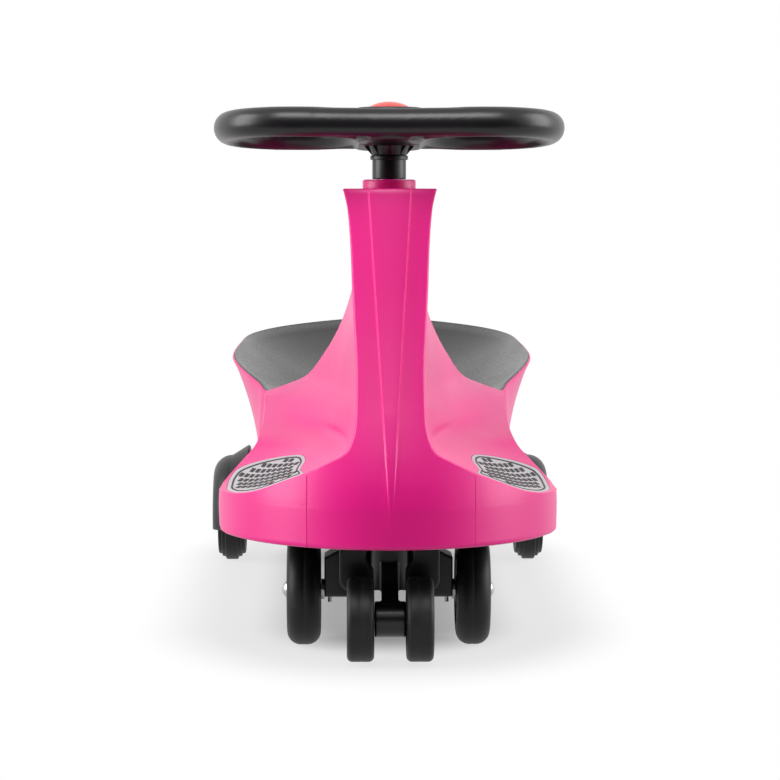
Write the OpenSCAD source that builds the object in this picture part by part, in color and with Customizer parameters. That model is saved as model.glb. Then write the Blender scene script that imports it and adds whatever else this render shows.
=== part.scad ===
// Wiggle car: a hollow moulded body with a dished seat, steered by a swivelling front bracket.
// Millimetres, +Z up, the car faces -Y, origin on the floor below the middle of the car.

/* [Body] */
// Distance from the middle of the car forward to the nose of the skirt
nose_reach = 390; // [380:1:400]
// Distance from the middle of the car back to the tail of the seat rim
tail_reach = 390; // [380:1:400]
// Half width of the front skirt
skirt_half_w = 125; // [120:1:130]
// Height of the underside of the body above the floor
base_z = 86; // [85:0.5:90]
// Height of the top of the steering column above the floor
column_top_z = 335; // [325:1:345]
// Wall thickness of the moulded body
wall = 3; // [2.5:0.1:3.5]
// How far the tapering rib on the front panel stands proud
spine_rise = 4; // [2:0.1:5]
// Half width of the front panel's rib at the top of the column
spine_half_w = 14.5; // [10:0.5:18]

/* [Seat] */
// How far the seat rim at its widest stands out past the side of the skirt
seat_out = 4.5; // [2:0.5:7]
// Gap between the body's underside below the seat and the inner wall of a fender
pan_gap = 14.8; // [13.8:0.2:18.8]
// Height of the tail of the seat rim above the floor
seat_tail_z = 214; // [208:1:220]
// Height of the lowest point of the seat above the floor
seat_low_z = 152; // [146:1:158]
// Thickness of the seat panel
seat_panel_t = 3.5; // [2.5:0.1:4]
// Width of the body rim left round the seat panel
seat_rim_w = 3.2; // [3:0.1:5]
// Height of the seat panel's edge above the body rim
seat_proud = 1; // [0.6:0.1:1.4]

/* [Foot rests] */
// Width of the body left between a foot plate and the edge of its foot rest
plate_edge = 3; // [2.5:0.5:5]
// Thickness of a foot plate
plate_t = 3; // [2:0.1:3.5]

/* [Steering] */
// Distance from the nose of the skirt back to the steering axis
steer_back = 95; // [92:1:98]
// Diameter of the steering shaft
shaft_d = 18; // [16:0.5:19]
// Diameter of the round collar on top of the column
collar_d = 38; // [36:0.5:40]
// Height of the collar above the column
collar_h = 6.5; // [5:0.1:8]
// Diameter of the stem cover below the steering wheel
stem_d = 24.2; // [22:0.2:26]
// Overall width of the steering wheel
wheel_w = 250; // [236:1:256]
// Front to back size of the steering wheel
wheel_len = 160; // [150:1:166]
// Width of the steering wheel's rim
rim_w = 19; // [17:0.5:21]
// Thickness of the steering wheel's rim
rim_t = 21; // [18:0.5:22]
// Height of the middle of the rim above the column
rim_up = 42.5; // [39:0.5:47]
// Rake of the steering wheel towards the rider
rim_rake = 2.8; // [0:0.1:4]
// Diameter of the round cap on the steering wheel
cap_d = 30; // [26:0.5:34]
// Height of the cap's dome
cap_h = 4; // [2:0.1:6]

/* [Front wheels] */
// Diameter of the front wheels
front_d = 81.6; // [80:0.2:83]
// Width of the front wheels
front_w = 24.8; // [22:0.2:25]
// Distance between the middles of the two front wheels
front_track = 124; // [122:0.5:128]
// Distance of the front wheels' axle behind the steering axis
front_trail = 45; // [43:0.5:48]
// Diameter of the front axle bolts
front_axle_d = 7; // [6:0.1:8]
// Diameter of the safety wheels
safety_d = 60; // [56:0.5:62]
// Width of the safety wheels
safety_w = 19.3; // [17:0.1:20]
// Distance between the middles of the two safety wheels
safety_track = 42; // [41:0.2:44]
// Distance of the safety wheels' axle ahead of the steering axis
safety_lead = 47; // [45:0.5:49]
// Gap between the safety wheels and the floor
safety_lift = 1.7; // [1.5:0.1:4]
// Diameter of the safety axle
safety_axle_d = 6; // [5:0.1:7]

/* [Rear wheels] */
// Diameter of the rear wheels
rear_d = 82; // [80:0.5:84]
// Width of the rear wheels
rear_w = 24.4; // [22:0.2:25]
// Distance between the middles of the two rear wheels
rear_track = 268.8; // [266:0.4:272]
// Distance of the rear axle ahead of the tail of the seat rim
rear_axle_fwd = 140; // [135:1:145]
// Diameter of the rear axle
rear_axle_d = 8; // [7:0.2:9]
// Width of the raised band round the middle of a rear tyre
rear_band_w = 11.4; // [9:0.2:14]
// Step from the raised band down to the first shoulder, and from there to the second
rear_step = 2.6; // [2:0.1:4]
// Width of the first shoulder beside the band
rear_shoulder_w = 3.4; // [2.4:0.2:4]
// Radius of the rear fender above the axle at its inner side
fender_r = 63; // [60:0.5:65]
// Wall thickness of the fenders
fender_wall = 4; // [3.5:0.1:4.5]

/* [Fits] */
// Radial clearance of a turning fit
run_fit = 0.05; // [0.03:0.01:0.08]
// Side play of a wheel on its axle
side_play = 0.35; // [0.3:0.05:0.5]
// Clearance between fixed pieces
seat_fit = 0.2; // [0.15:0.05:0.3]

/* [Hidden] */

$fn = 48;
// Overrun of every cut past the face it opens
over = 1;
// Facets of the rounds in hulls and of the moulded posts
rib_fn = 24;
post_fn = 8;

pink = "#e4388a";
dark_grey = "#5a5758";
fender_grey = "#3a3c3f";
black = "#2b282b";
steel = "#b9bcc0";
silver = "#c4c6c8";
red = "#d73c32";
nylon = "#e8e6df";

body_h = column_top_z - base_z;
seat_half_w = skirt_half_w + seat_out;
axis_y = steer_back - nose_reach;
front_axle_y = axis_y + front_trail;
front_axle_z = front_d / 2;
safety_axle_y = axis_y - safety_lead;
safety_axle_z = safety_d / 2 + safety_lift;
rear_axle_y = tail_reach - rear_axle_fwd;
rear_axle_z = rear_d / 2;
// Gap between a rear wheel and the fender walls beside it
fender_gap = 0.4;
fender_in_x = (rear_track - rear_w) / 2 - fender_gap - fender_wall;
fender_out_x = (rear_track + rear_w) / 2 + fender_gap + fender_wall;
pan_half_w = fender_in_x - pan_gap;

// Front of the body, level by level from the underside to the top of the column.
// Each row: share of the height; crease outward and forward; middle forward;
// shoulder outward and forward; flare of the flank; roundness of the front
front_shares = [
    [0.000, 1.000, 0.600, 1.000, 0.992, 0.526, 1.0, 0.50],
    [0.109, 1.000, 0.605, 0.998, 0.992, 0.531, 1.0, 0.50],
    [0.118, 0.974, 0.695, 0.997, 0.986, 0.536, 2.8, 0.58],
    [0.1285, 0.864, 0.805, 0.996, 0.968, 0.520, 3.5, 0.68],
    [0.145, 0.756, 0.860, 0.995, 0.936, 0.487, 4.0, 0.78],
    [0.177, 0.612, 0.916, 0.990, 0.872, 0.436, 4.0, 0.90],
    [0.206, 0.480, 0.946, 0.986, 0.816, 0.405, 4.0, 1.00],
    [0.234, 0.368, 0.959, 0.977, 0.784, 0.372, 4.0, 1.00],
    [0.262, 0.264, 0.957, 0.967, 0.768, 0.295, 3.6, 1.00],
    [0.298, 0.220, 0.949, 0.957, 0.764, 0.179, 2.8, 1.00],
    [0.343, 0.199, 0.938, 0.948, 0.760, 0.056, 2.0, 1.00],
    [0.367, 0.196, 0.933, 0.943, 0.640, 0.072, 1.7, 1.00],
    [0.391, 0.194, 0.927, 0.937, 0.536, 0.108, 1.7, 1.00],
    [0.415, 0.193, 0.922, 0.931, 0.478, 0.154, 1.7, 1.00],
    [0.480, 0.192, 0.909, 0.918, 0.392, 0.251, 1.7, 1.00],
    [0.540, 0.195, 0.899, 0.908, 0.324, 0.328, 1.7, 1.00],
    [0.609, 0.203, 0.888, 0.898, 0.264, 0.390, 1.5, 1.00],
    [0.706, 0.213, 0.876, 0.885, 0.208, 0.462, 1.0, 1.00],
    [0.839, 0.226, 0.862, 0.871, 0.168, 0.544, 0.7, 1.00],
    [0.944, 0.248, 0.851, 0.861, 0.152, 0.600, 0.5, 1.00],
    [1.000, 0.270, 0.846, 0.856, 0.148, 0.631, 0.45, 1.00]];
// Rise of the front panel's rib at its middle, half way out and at its edge
rib_shares = [1, 0.82, 0.22];
// Places along the front panel between the rib and the crease
panel_shares = [0.15, 0.35, 0.55, 0.75, 0.9, 1];
// Places along the flank between the crease and the shoulder
flank_shares = [0.08, 0.2, 0.34, 0.48, 0.62, 0.76, 0.89, 1];
// Steps of the loft between two rows of the table
loft_steps = 2;
// Height share where the rib runs out, and where the body joins the seat
spine_end_share = 0.056;
seat_join_share = 0.355;
// Least half width of the rib, and how soon it reaches its full rise
spine_min = 0.4;
spine_gain = 3;
// How far the waist behind the foot rests draws in
waist_in = 10;
// Reach of the front body behind the middle of the car, inside the seat pan
join_reach = 30;
// Inset of the join's inner corner from its side
join_inset = 12;
// Place of the join's outer corner, ahead of the middle of the car, and its travel up the join
join_fwd = 22;
join_rise = 30;
join_lean = 2.7;
// Depth of the rounded back of the hump
hump_round = 14;
// Sideways and backward shares of the hump's rounded back
hump_shares = [[0.93, 0.35], [0.74, 0.7], [0.42, 0.93]];
// Share of the way to the middle that an inset may take
ease_share = 0.25;
// Rounding of the body's lower edge: inset and height of its three levels
edge_round = 1.8;
edge_inset_shares = [1, 0.3, 0];
edge_height_shares = [0, 0.5, 1];

// Seat rim from the middle of its front edge to the start of its round tail:
// outward share of the half width, share of the tail reach behind the middle, share of the tail height
rim_shares = [
    [0.000, -0.097, 0.857], [0.247, -0.103, 0.857], [0.486, -0.108, 0.855], [0.618, -0.077, 0.827],
    [0.734, -0.051, 0.799], [0.803, 0.038, 0.822], [0.880, 0.128, 0.846], [0.958, 0.244, 0.871],
    [1.000, 0.359, 0.893], [1.000, 0.500, 0.911], [0.973, 0.641, 0.930]];
// Outward shares of the underside's half width below the same points
pan_shares = [0, 0.311, 0.612, 0.854, 1, 1, 1, 1, 1, 1, 1];
// Places along the round tail, its bluntness, and the rise of the rim round it
tail_shares = [0.14, 0.28, 0.42, 0.56, 0.7, 0.82, 0.92, 1];
tail_blunt = 2.4;
tail_rise_power = 1.2;
// How far the underside's tail stays ahead of the rim's tail
tail_tuck = 48;
// Levels of the seat pan's side, and how late it flares
pan_level_shares = [0.18, 0.36, 0.54, 0.72, 0.87, 1];
pan_flare = 1.8;
// Rings of the seat's dish, and the curve of its sides
dish_shares = [0.12, 0.3, 0.48, 0.64, 0.79, 0.91, 1];
dish_power = 2.3;
// Place of the bottom of the dish along the tail reach
dish_share = 0.385;
// Level share of the seat pan where its hollow ends below the solid lip
lip_share = 0.9;

// Moves a value towards an aim by a given distance, and by less close to the aim
function toward(v, aim, d) = v + sign(aim - v) * min(d, abs(aim - v) * ease_share);

// Row of a table that holds t
function row_of(rows, t, i = 0) = (i >= len(rows) - 2 || t <= rows[i + 1][0]) ? i : row_of(rows, t, i + 1);

// Slope of a column of a table at one row
function row_slope(rows, col, i) =
    let (a = max(i - 1, 0), b = min(i + 1, len(rows) - 1))
    (rows[b][col] - rows[a][col]) / (rows[b][0] - rows[a][0]);

// Smooth value of a column of a table at t
function smooth(rows, col, t) =
    let (i = row_of(rows, t),
         span = rows[i + 1][0] - rows[i][0],
         u = (t - rows[i][0]) / span,
         hold = u * u * (3 - 2 * u),
         lead = u * (1 - u) * (1 - u) * span,
         trail = u * u * (1 - u) * span)
    rows[i][col] * (1 - hold) + rows[i + 1][col] * hold
    + row_slope(rows, col, i) * lead - row_slope(rows, col, i + 1) * trail;

// Closed ring from a right half that starts and ends on the middle plane
function whole_ring(half) =
    concat(half, [for (i = [len(half) - 2:-1:1]) [-half[i].x, half[i].y, half[i].z]]);

// Front panel from the middle out to the crease, at one height share
function panel_points(h, z) =
    let (out = smooth(front_shares, 1, h) * skirt_half_w,
         crease_y = -smooth(front_shares, 2, h) * nose_reach,
         middle_y = -smooth(front_shares, 3, h) * nose_reach,
         round_power = smooth(front_shares, 7, h),
         fade = max(0, (h - spine_end_share) / (1 - spine_end_share)),
         spine = max(spine_min, spine_half_w * fade) / out,
         rise = spine_rise * min(1, fade * spine_gain),
         places = concat([0, spine / 2, spine], [for (p = panel_shares) spine + (1 - spine) * p]))
    [for (k = [0:len(places) - 1])
        let (f = places[k])
        [f * out,
         crease_y + (middle_y - crease_y) * pow(max(0, 1 - f * f), round_power)
         - (k < len(rib_shares) ? rise * rib_shares[k] : 0),
         z]];

// Flank from the crease to the shoulder, at one height share
function flank_points(h, z) =
    let (out = smooth(front_shares, 1, h) * skirt_half_w,
         crease_y = -smooth(front_shares, 2, h) * nose_reach,
         shoulder_x = smooth(front_shares, 4, h) * skirt_half_w,
         shoulder_y = -smooth(front_shares, 5, h) * nose_reach,
         flare = smooth(front_shares, 6, h))
    [for (s = flank_shares)
        [out + (shoulder_x - out) * pow(s, flare), crease_y + (shoulder_y - crease_y) * s, z]];

// From the shoulder to the middle of the back: into the seat pan below, round the hump above
function back_points(h, z) =
    let (shoulder_x = smooth(front_shares, 4, h) * skirt_half_w,
         shoulder_y = -smooth(front_shares, 5, h) * nose_reach,
         up = min(1, h / seat_join_share),
         join_x = pan_half_w - join_lean * up,
         join_y = join_rise * up - join_fwd)
    h < seat_join_share
    ? [[(shoulder_x + join_x) / 2 - waist_in * (1 - up), (shoulder_y + join_y) / 2, z],
       [join_x, join_y, z],
       [join_x - join_inset, join_reach, z],
       [0, join_reach, z]]
    : concat([for (s = hump_shares) [shoulder_x * s[0], shoulder_y + hump_round * s[1], z]],
             [[0, shoulder_y + hump_round, z]]);

// One ring of the front body, drawn in by an inset
function front_ring(h, z, inset) =
    whole_ring([for (p = concat(panel_points(h, z), flank_points(h, z), back_points(h, z)))
        [toward(p.x, 0, inset), toward(p.y, axis_y, inset), p.z]]);

// Height shares of the front body's loft
function loft_heights() =
    concat([for (i = [0:len(front_shares) - 2]) for (k = [0:loft_steps - 1])
        let (a = front_shares[i][0], b = front_shares[i + 1][0])
        a + (b - a) * k / loft_steps], [1]);

// Right half of the seat rim
function rim_half() =
    let (last = rim_shares[len(rim_shares) - 1],
         side_x = last[0] * seat_half_w,
         side_y = last[1] * tail_reach,
         side_z = last[2] * seat_tail_z)
    concat([for (r = rim_shares) [r[0] * seat_half_w, r[1] * tail_reach, r[2] * seat_tail_z]],
           [for (s = tail_shares)
               [side_x * pow(max(0, cos(90 * s)), 2 / tail_blunt),
                side_y + (tail_reach - side_y) * pow(sin(90 * s), 2 / tail_blunt),
                side_z + (seat_tail_z - side_z) * pow(s, tail_rise_power)]]);

// Right half of the underside's edge below the seat
function pan_half() =
    let (side_y = rim_shares[len(rim_shares) - 1][1] * tail_reach)
    concat([for (i = [0:len(rim_shares) - 1])
               [pan_shares[i] * pan_half_w, rim_shares[i][1] * tail_reach, base_z]],
           [for (s = tail_shares)
               [pan_half_w * pow(max(0, cos(90 * s)), 2 / tail_blunt),
                side_y + (tail_reach - tail_tuck - side_y) * pow(sin(90 * s), 2 / tail_blunt),
                base_z]]);

dish_y = dish_share * tail_reach;

// One ring of the seat pan between its underside and its rim
function pan_ring(t, inset) =
    let (low = pan_half(), high = rim_half())
    whole_ring([for (i = [0:len(low) - 1])
        [toward(low[i].x + (high[i].x - low[i].x) * pow(t, pan_flare), 0, inset),
         toward(low[i].y + (high[i].y - low[i].y) * t, dish_y, inset),
         low[i].z + (high[i].z - low[i].z) * t]]);

// One ring of the dish: a share of the seat opening, lowered
function dish_ring(s, inset, drop) =
    whole_ring([for (p = rim_half())
        [toward(p.x, 0, inset) * s,
         dish_y + (toward(p.y, dish_y, inset) - dish_y) * s,
         seat_low_z + (p.z - seat_low_z) * pow(s, dish_power) - drop]]);

// Middle of a ring of points
function middle(ring) = [for (k = [0:2]) [for (p = ring) p[k]] * [for (p = ring) 1 / len(ring)]];

// Solid through a stack of rings, its ends closed by fans or by flat faces
module loft(rings, fans) {
    n = len(rings[0]);
    m = len(rings);
    points = concat([for (r = rings) each r], fans ? [middle(rings[0]), middle(rings[m - 1])] : []);
    sides = [for (k = [0:m - 2]) for (i = [0:n - 1])
        let (a = k * n + i, b = k * n + (i + 1) % n)
        each [[a, a + n, b + n], [a, b + n, b]]];
    ends = fans
        ? [for (i = [0:n - 1]) let (j = (i + 1) % n, top = (m - 1) * n)
            each [[m * n, i, j], [m * n + 1, top + j, top + i]]]
        : [[for (i = [0:n - 1]) i], [for (i = [n - 1:-1:0]) (m - 1) * n + i]];
    polyhedron(points, concat(sides, ends));
}

// Body pieces

// Thickness of the belly pan
pan_t = 4;
// Belly screws: diameter, length, head diameter and head height
belly_screw_d = 4;
belly_screw_len = 16;
belly_head_d = 8;
belly_head_h = 2;
// Diameter of the moulded posts that take the screws
post_d = 11;
// Belly screw places in front: outward share of the skirt's half width, share of the nose's reach
front_screw_shares = [[0.72, 0.62], [0.40, 0.83], [0.62, 0.16]];
// Belly screw places behind: outward share of the underside's half width, share of the tail's reach
rear_screw_shares = [[0.75, 0.30], [0.44, 0.74]];
// Fender screws: diameter, length, head diameter and head height
fender_screw_d = 5;
fender_screw_len = 24;
fender_head_d = 10;
fender_head_h = 3;
// Half spacing of a fender's two screws, and their distance in from the underside's edge
fender_screw_half = 14;
fender_screw_in = 27;
fender_screw_x = pan_half_w - fender_screw_in;
// Foot of a fender below the belly: thickness, length along the car, margin round its screws
foot_t = 6;
foot_len = 54;
foot_margin = 12;
// Flat land below the belly: height, gap to the fenders' feet, reach ahead of the middle,
// gap to the rear axle and corner radius
land_h = 3;
land_gap = 4;
land_fwd = 60;
land_axle_gap = 36;
land_r = 8;
// Bore of the column's tube, and its wall
tube_d = 28;
tube_wall = 3;
// Edge of the right foot rest seen from above, from its front tip round the outside and back along
// its inner end: place along the edge, outward share of the skirt's half width, share of the nose's reach
rest_shares = [
    [0.000, 0.448, 0.947], [0.031, 0.544, 0.932], [0.061, 0.624, 0.912], [0.108, 0.728, 0.872],
    [0.163, 0.832, 0.822], [0.225, 0.916, 0.759], [0.294, 0.964, 0.685], [0.369, 0.974, 0.603],
    [0.436, 0.968, 0.528], [0.483, 0.924, 0.479], [0.513, 0.824, 0.473], [0.562, 0.688, 0.500],
    [0.624, 0.556, 0.551], [0.682, 0.484, 0.605], [0.758, 0.462, 0.687], [0.822, 0.476, 0.756],
    [0.882, 0.484, 0.821], [0.942, 0.468, 0.885], [1.000, 0.448, 0.947]];
// Middle of a foot rest: the same two shares
rest_middle_shares = [0.70, 0.68];
// Steps round a foot plate, and its rings from the middle to the edge
plate_steps = 44;
plate_ring_shares = [0.35, 0.7, 1];
// Lowest and highest share of the body's height on a foot rest, and the steps of the search between them
rest_low_share = 0.1;
rest_high_share = 0.26;
rest_tries = 12;

// Outward place of the flank at a height share and a lengthwise place
function flank_x(h, y) =
    let (out = smooth(front_shares, 1, h) * skirt_half_w,
         crease_y = -smooth(front_shares, 2, h) * nose_reach,
         shoulder_x = smooth(front_shares, 4, h) * skirt_half_w,
         shoulder_y = -smooth(front_shares, 5, h) * nose_reach,
         s = max(0, (y - crease_y) / (shoulder_y - crease_y)))
    out + (shoulder_x - out) * pow(s, smooth(front_shares, 6, h));

// Height of a foot rest below a point, found by halving
function rest_z(p, low = rest_low_share, high = rest_high_share, tries = rest_tries) =
    let (h = (low + high) / 2)
    tries == 0 ? base_z + body_h * h
    : flank_x(h, p.y) > p.x ? rest_z(p, h, high, tries - 1) : rest_z(p, low, h, tries - 1);

// Point on the edge of the right foot rest, and the edge drawn in by the plate's margin and grown again
function rest_point(t) = [smooth(rest_shares, 1, t) * skirt_half_w, -smooth(rest_shares, 2, t) * nose_reach];
function plate_point(t, grow) =
    let (step = 1 / plate_steps,
         d = rest_point(min(1, t + step / 2)) - rest_point(max(0, t - step / 2)))
    rest_point(t) + [-d.y, d.x] / norm(d) * (plate_edge - grow);

// Rings of the right foot plate on the foot rest, from its middle to its edge
function plate_rings(drop, grow) =
    let (edge = [for (k = [0:plate_steps - 1]) plate_point((k + 0.5) / plate_steps, grow)],
         middle = [rest_middle_shares[0] * skirt_half_w, -rest_middle_shares[1] * nose_reach])
    [for (s = plate_ring_shares)
        [for (p = edge) let (q = middle + (p - middle) * s) [q.x, q.y, rest_z(q) - drop]]];

module front_mass() {
    loft(concat(
        [for (k = [0:2])
            front_ring(0, base_z + edge_round * edge_height_shares[k], edge_round * edge_inset_shares[k])],
        [for (h = loft_heights()) if (h > 0) front_ring(h, base_z + body_h * h, 0)]), false);
}

// The top of the column stays solid round the collar
module front_hollow() {
    rows = [for (r = front_shares) if (r[0] > 0 && r[0] < 1) r[0]];
    loft(concat([front_ring(0, base_z - over, wall)],
                [for (h = rows) front_ring(h, base_z + body_h * h - wall, wall)]), false);
}

module seat_mass() {
    loft(concat(
        [for (k = [0:2]) let (t = edge_round * edge_height_shares[k] / body_h)
            pan_ring(t, edge_round * edge_inset_shares[k])],
        [for (t = pan_level_shares) pan_ring(t, 0)]), true);
}

module seat_hollow() {
    foot = pan_ring(0, wall);
    loft(concat([[for (p = foot) [p.x, p.y, p.z - over]]],
                [for (t = pan_level_shares) pan_ring(t * lip_share, wall)]), true);
}

// Everything above the dish, lowered by a drop
module dish_cut(drop, inset) {
    rings = [for (s = dish_shares) dish_ring(s, inset, drop)];
    edge = rings[len(rings) - 1];
    loft(concat(rings, [[for (p = edge) [p.x, p.y, column_top_z]]]), true);
}

module post() {
    hull() {
        translate([0, 0, base_z + pan_t])
            cylinder(d = post_d, h = wall, $fn = post_fn);
        translate([0, 0, column_top_z - wall])
            cylinder(d = post_d, h = wall, $fn = post_fn);
    }
}

module belly_places() {
    for (side = [-1, 1]) {
        for (s = front_screw_shares)
            translate([side * s[0] * skirt_half_w, -s[1] * nose_reach, 0])
                children();
        for (s = rear_screw_shares)
            translate([side * s[0] * pan_half_w, s[1] * tail_reach, 0])
                children();
    }
}

module fender_screw_places() {
    for (side = [-1, 1], along = [-1, 1])
        translate([side * fender_screw_x, rear_axle_y + along * fender_screw_half, 0])
            children();
}

// Everything above the right foot rest lowered by a drop, inside the plate's edge
module plate_cut(drop, grow) {
    rings = plate_rings(drop, grow);
    edge = rings[len(rings) - 1];
    loft(concat(rings, [[for (p = edge) [p.x, p.y, column_top_z]]]), true);
}

module on_side(side) {
    mirror([side < 0 ? 1 : 0, 0, 0])
        children();
}

module column_inside() {
    tube_r = tube_d / 2 + tube_wall;
    translate([0, axis_y, base_z])
        cylinder(r = tube_r, h = body_h, $fn = rib_fn);
    translate([-tube_wall / 2, -nose_reach, base_z + pan_t])
        cube([tube_wall, nose_reach + join_reach, body_h]);
    translate([-skirt_half_w, axis_y - tube_wall / 2, base_z + pan_t])
        cube([2 * skirt_half_w, tube_wall, body_h]);
}

// Space inside the body, round the column's tube, ribs and posts and below the seat and foot plates
module body_hollow() {
    difference() {
        union() {
            front_hollow();
            seat_hollow();
        }
        column_inside();
        belly_places() post();
        fender_screw_places() post();
        dish_cut(seat_panel_t + seat_fit + wall, seat_rim_w - wall);
        for (side = [-1, 1])
            on_side(side)
                plate_cut(plate_t + seat_fit + wall, wall);
    }
}

module body_shell() {
    color(pink)
    difference() {
        union() {
            front_mass();
            seat_mass();
        }
        body_hollow();
        dish_cut(seat_panel_t + seat_fit, seat_rim_w);
        for (side = [-1, 1])
            on_side(side)
                plate_cut(plate_t + seat_fit, seat_fit);
        translate([0, axis_y, base_z - over])
            cylinder(d = tube_d, h = body_h + 2 * over, $fn = 2 * rib_fn);
        belly_places()
            translate([0, 0, base_z - over])
                cylinder(d = belly_screw_d + 2 * seat_fit, h = belly_screw_len + 2 * over, $fn = post_fn);
        fender_screw_places()
            translate([0, 0, base_z - over])
                cylinder(d = fender_screw_d + 2 * seat_fit, h = fender_screw_len + 2 * over, $fn = post_fn);
    }
}

// Raised flat land that the car rests on when it is lifted off its wheels
module belly_land() {
    half_w = fender_screw_x - foot_margin - land_gap;
    far_y = rear_axle_y - land_axle_gap;
    translate([0, 0, base_z - land_h])
        linear_extrude(land_h + pan_t)
            offset(r = land_r, $fn = rib_fn)
                translate([land_r - half_w, land_r - land_fwd])
                    square([2 * half_w - 2 * land_r, far_y + land_fwd - 2 * land_r]);
}

module belly_pan() {
    inset = wall + seat_fit;
    color(fender_grey)
    difference() {
        union() {
            translate([0, 0, base_z])
                linear_extrude(pan_t)
                    union() {
                        polygon([for (p = front_ring(0, 0, inset)) [p.x, p.y]]);
                        polygon([for (p = pan_ring(0, inset)) [p.x, p.y]]);
                    }
            belly_land();
        }
        translate([0, axis_y, base_z - over])
            cylinder(r = tube_d / 2 + tube_wall + seat_fit, h = pan_t + 2 * over);
        belly_places() {
            translate([0, 0, base_z - over])
                cylinder(d = belly_screw_d + 2 * seat_fit, h = pan_t + 2 * over);
            translate([0, 0, base_z - over])
                cylinder(d = belly_head_d + 2 * seat_fit, h = belly_head_h + over);
        }
        fender_screw_places()
            translate([0, 0, base_z - over])
                cylinder(d = fender_screw_d + 2 * seat_fit, h = pan_t + 2 * over);
    }
}

module belly_screws() {
    color(steel)
    belly_places()
        translate([0, 0, base_z]) {
            cylinder(d = belly_head_d, h = belly_head_h);
            cylinder(d = belly_screw_d, h = belly_screw_len);
        }
}

module seat_panel() {
    inset = seat_rim_w + seat_fit;
    count = len(dish_shares);
    color(dark_grey)
    loft(concat([for (s = dish_shares) dish_ring(s, inset, seat_panel_t)],
                [for (i = [count - 1:-1:0]) dish_ring(dish_shares[i], inset, -seat_proud)]), true);
}

module footplate(side) {
    top = plate_rings(0, 0);
    color(silver)
    on_side(side)
        loft(concat(plate_rings(plate_t, 0), [for (i = [len(top) - 1:-1:0]) top[i]]), true);
}

module footplate_left() { footplate(-1); }

module footplate_right() { footplate(1); }

// Column bearings

// Length of a bearing inside the column, and thickness of the lower bush's flange
spigot_len = 22;
bush_flange_t = 1.5;
// Thickness of the thrust washer below it, and the gap it turns in
washer_t = 1.2;
turn_gap = 0.3;
// How far the lower bush's flange stands out past the column's tube, and past the washer
bush_flange_out = 2;
washer_in = 1;
bush_flange_r = tube_d / 2 + tube_wall + bush_flange_out;

module bearing(flange_r, flange_t, spigot) {
    difference() {
        union() {
            cylinder(r = flange_r, h = flange_t);
            translate([0, 0, -spigot])
                cylinder(r = tube_d / 2 - seat_fit, h = spigot + flange_t);
        }
        translate([0, 0, -spigot - over])
            cylinder(r = shaft_d / 2 + run_fit, h = spigot + flange_t + 2 * over);
    }
}

module column_collar() {
    color(pink)
    translate([0, axis_y, column_top_z])
        bearing(collar_d / 2, collar_h, spigot_len);
}

module lower_bush() {
    color(nylon)
    translate([0, axis_y, base_z])
        mirror([0, 0, 1])
            bearing(bush_flange_r, bush_flange_t, spigot_len);
}

bracket_top_z = base_z - bush_flange_t - turn_gap - washer_t;

module thrust_washer() {
    color(nylon)
    translate([0, axis_y, bracket_top_z])
        difference() {
            cylinder(r = bush_flange_r - washer_in, h = washer_t);
            translate([0, 0, -over])
                cylinder(r = shaft_d / 2 + seat_fit, h = washer_t + 2 * over);
        }
}

// Steering wheel, stem and shaft

// Half width of the solid middle of the steering wheel, and bluntness of its two lobes
lobe_inner = 27;
lobe_blunt = 2.3;
// Steps round a lobe and round the rim's section
lobe_steps = 40;
rim_steps = 10;
// Long hub between the lobes: radius, half length between its rounds, underside and top from the rim's middle
hub_r = 23;
hub_half_len = 44;
hub_below = 12;
hub_above = 15.5;
// Spokes from the hub into the lobes: width at the hub and at the lobe, thickness, and place on a lobe
spoke_d = 20;
spoke_end_d = 13;
spoke_t = 14;
spoke_shares = [0.74, 0.88];
// Straight bars across the front and the rear of the wheel: place on a lobe where they start,
// how far their section lies inside the rim's, and thickness of the web behind them
bar_share = 0.556;
bar_in = 0.5;
web_t = 12;
// Recess for the bolt's head and the cap
recess_depth = 10;
cap_edge_h = 3.5;
// How far the shaft reaches into the hub
shaft_in_hub = 12;
// Steering bolt: diameter, length, head diameter and head height
bolt_d = 6;
bolt_len = 36;
bolt_head_d = 11;
bolt_head_h = 5;
// Flare at the top of the stem: diameter and height
stem_flange_d = 36;
stem_flare_h = 7;
// Ring round the foot of the flare: how far it stands out, and its height
stem_ring = 1.4;
stem_ring_h = 3;
// Gussets round the flare: count and thickness
gusset_count = 8;
gusset_t = 2.4;

rim_z = column_top_z + rim_up;
hub_low_z = rim_z - hub_below;
hub_top_z = rim_z + hub_above;
shaft_top_z = hub_low_z + shaft_in_hub;
lobe_a = (wheel_w / 2 - lobe_inner) / 2;
lobe_x = lobe_inner + lobe_a - rim_w / 2;
lobe_b = (wheel_len - rim_w) / 2;

// Point on the middle line of the right lobe, and its direction outwards
function lobe_point(a) =
    [lobe_x + lobe_a * sign(cos(a)) * pow(abs(cos(a)), 2 / lobe_blunt),
     lobe_b * sign(sin(a)) * pow(abs(sin(a)), 2 / lobe_blunt)];
function lobe_normal(a) =
    let (d = lobe_point(a + 1) - lobe_point(a - 1))
    [d.y, -d.x] / norm(d);

module lobe() {
    points = [for (i = [0:lobe_steps - 1]) for (j = [0:rim_steps - 1])
        let (a = 360 * (i + 0.5) / lobe_steps,
             f = 360 * j / rim_steps,
             p = lobe_point(a),
             n = lobe_normal(a))
        [p.x + n.x * cos(f) * rim_w / 2, p.y + n.y * cos(f) * rim_w / 2, sin(f) * rim_t / 2]];
    faces = [for (i = [0:lobe_steps - 1]) for (j = [0:rim_steps - 1])
        let (i2 = (i + 1) % lobe_steps, j2 = (j + 1) % rim_steps,
             a = i * rim_steps + j, b = i2 * rim_steps + j,
             c = i2 * rim_steps + j2, d = i * rim_steps + j2)
        each [[a, d, c], [a, c, b]]];
    polyhedron(points, faces);
}

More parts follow.
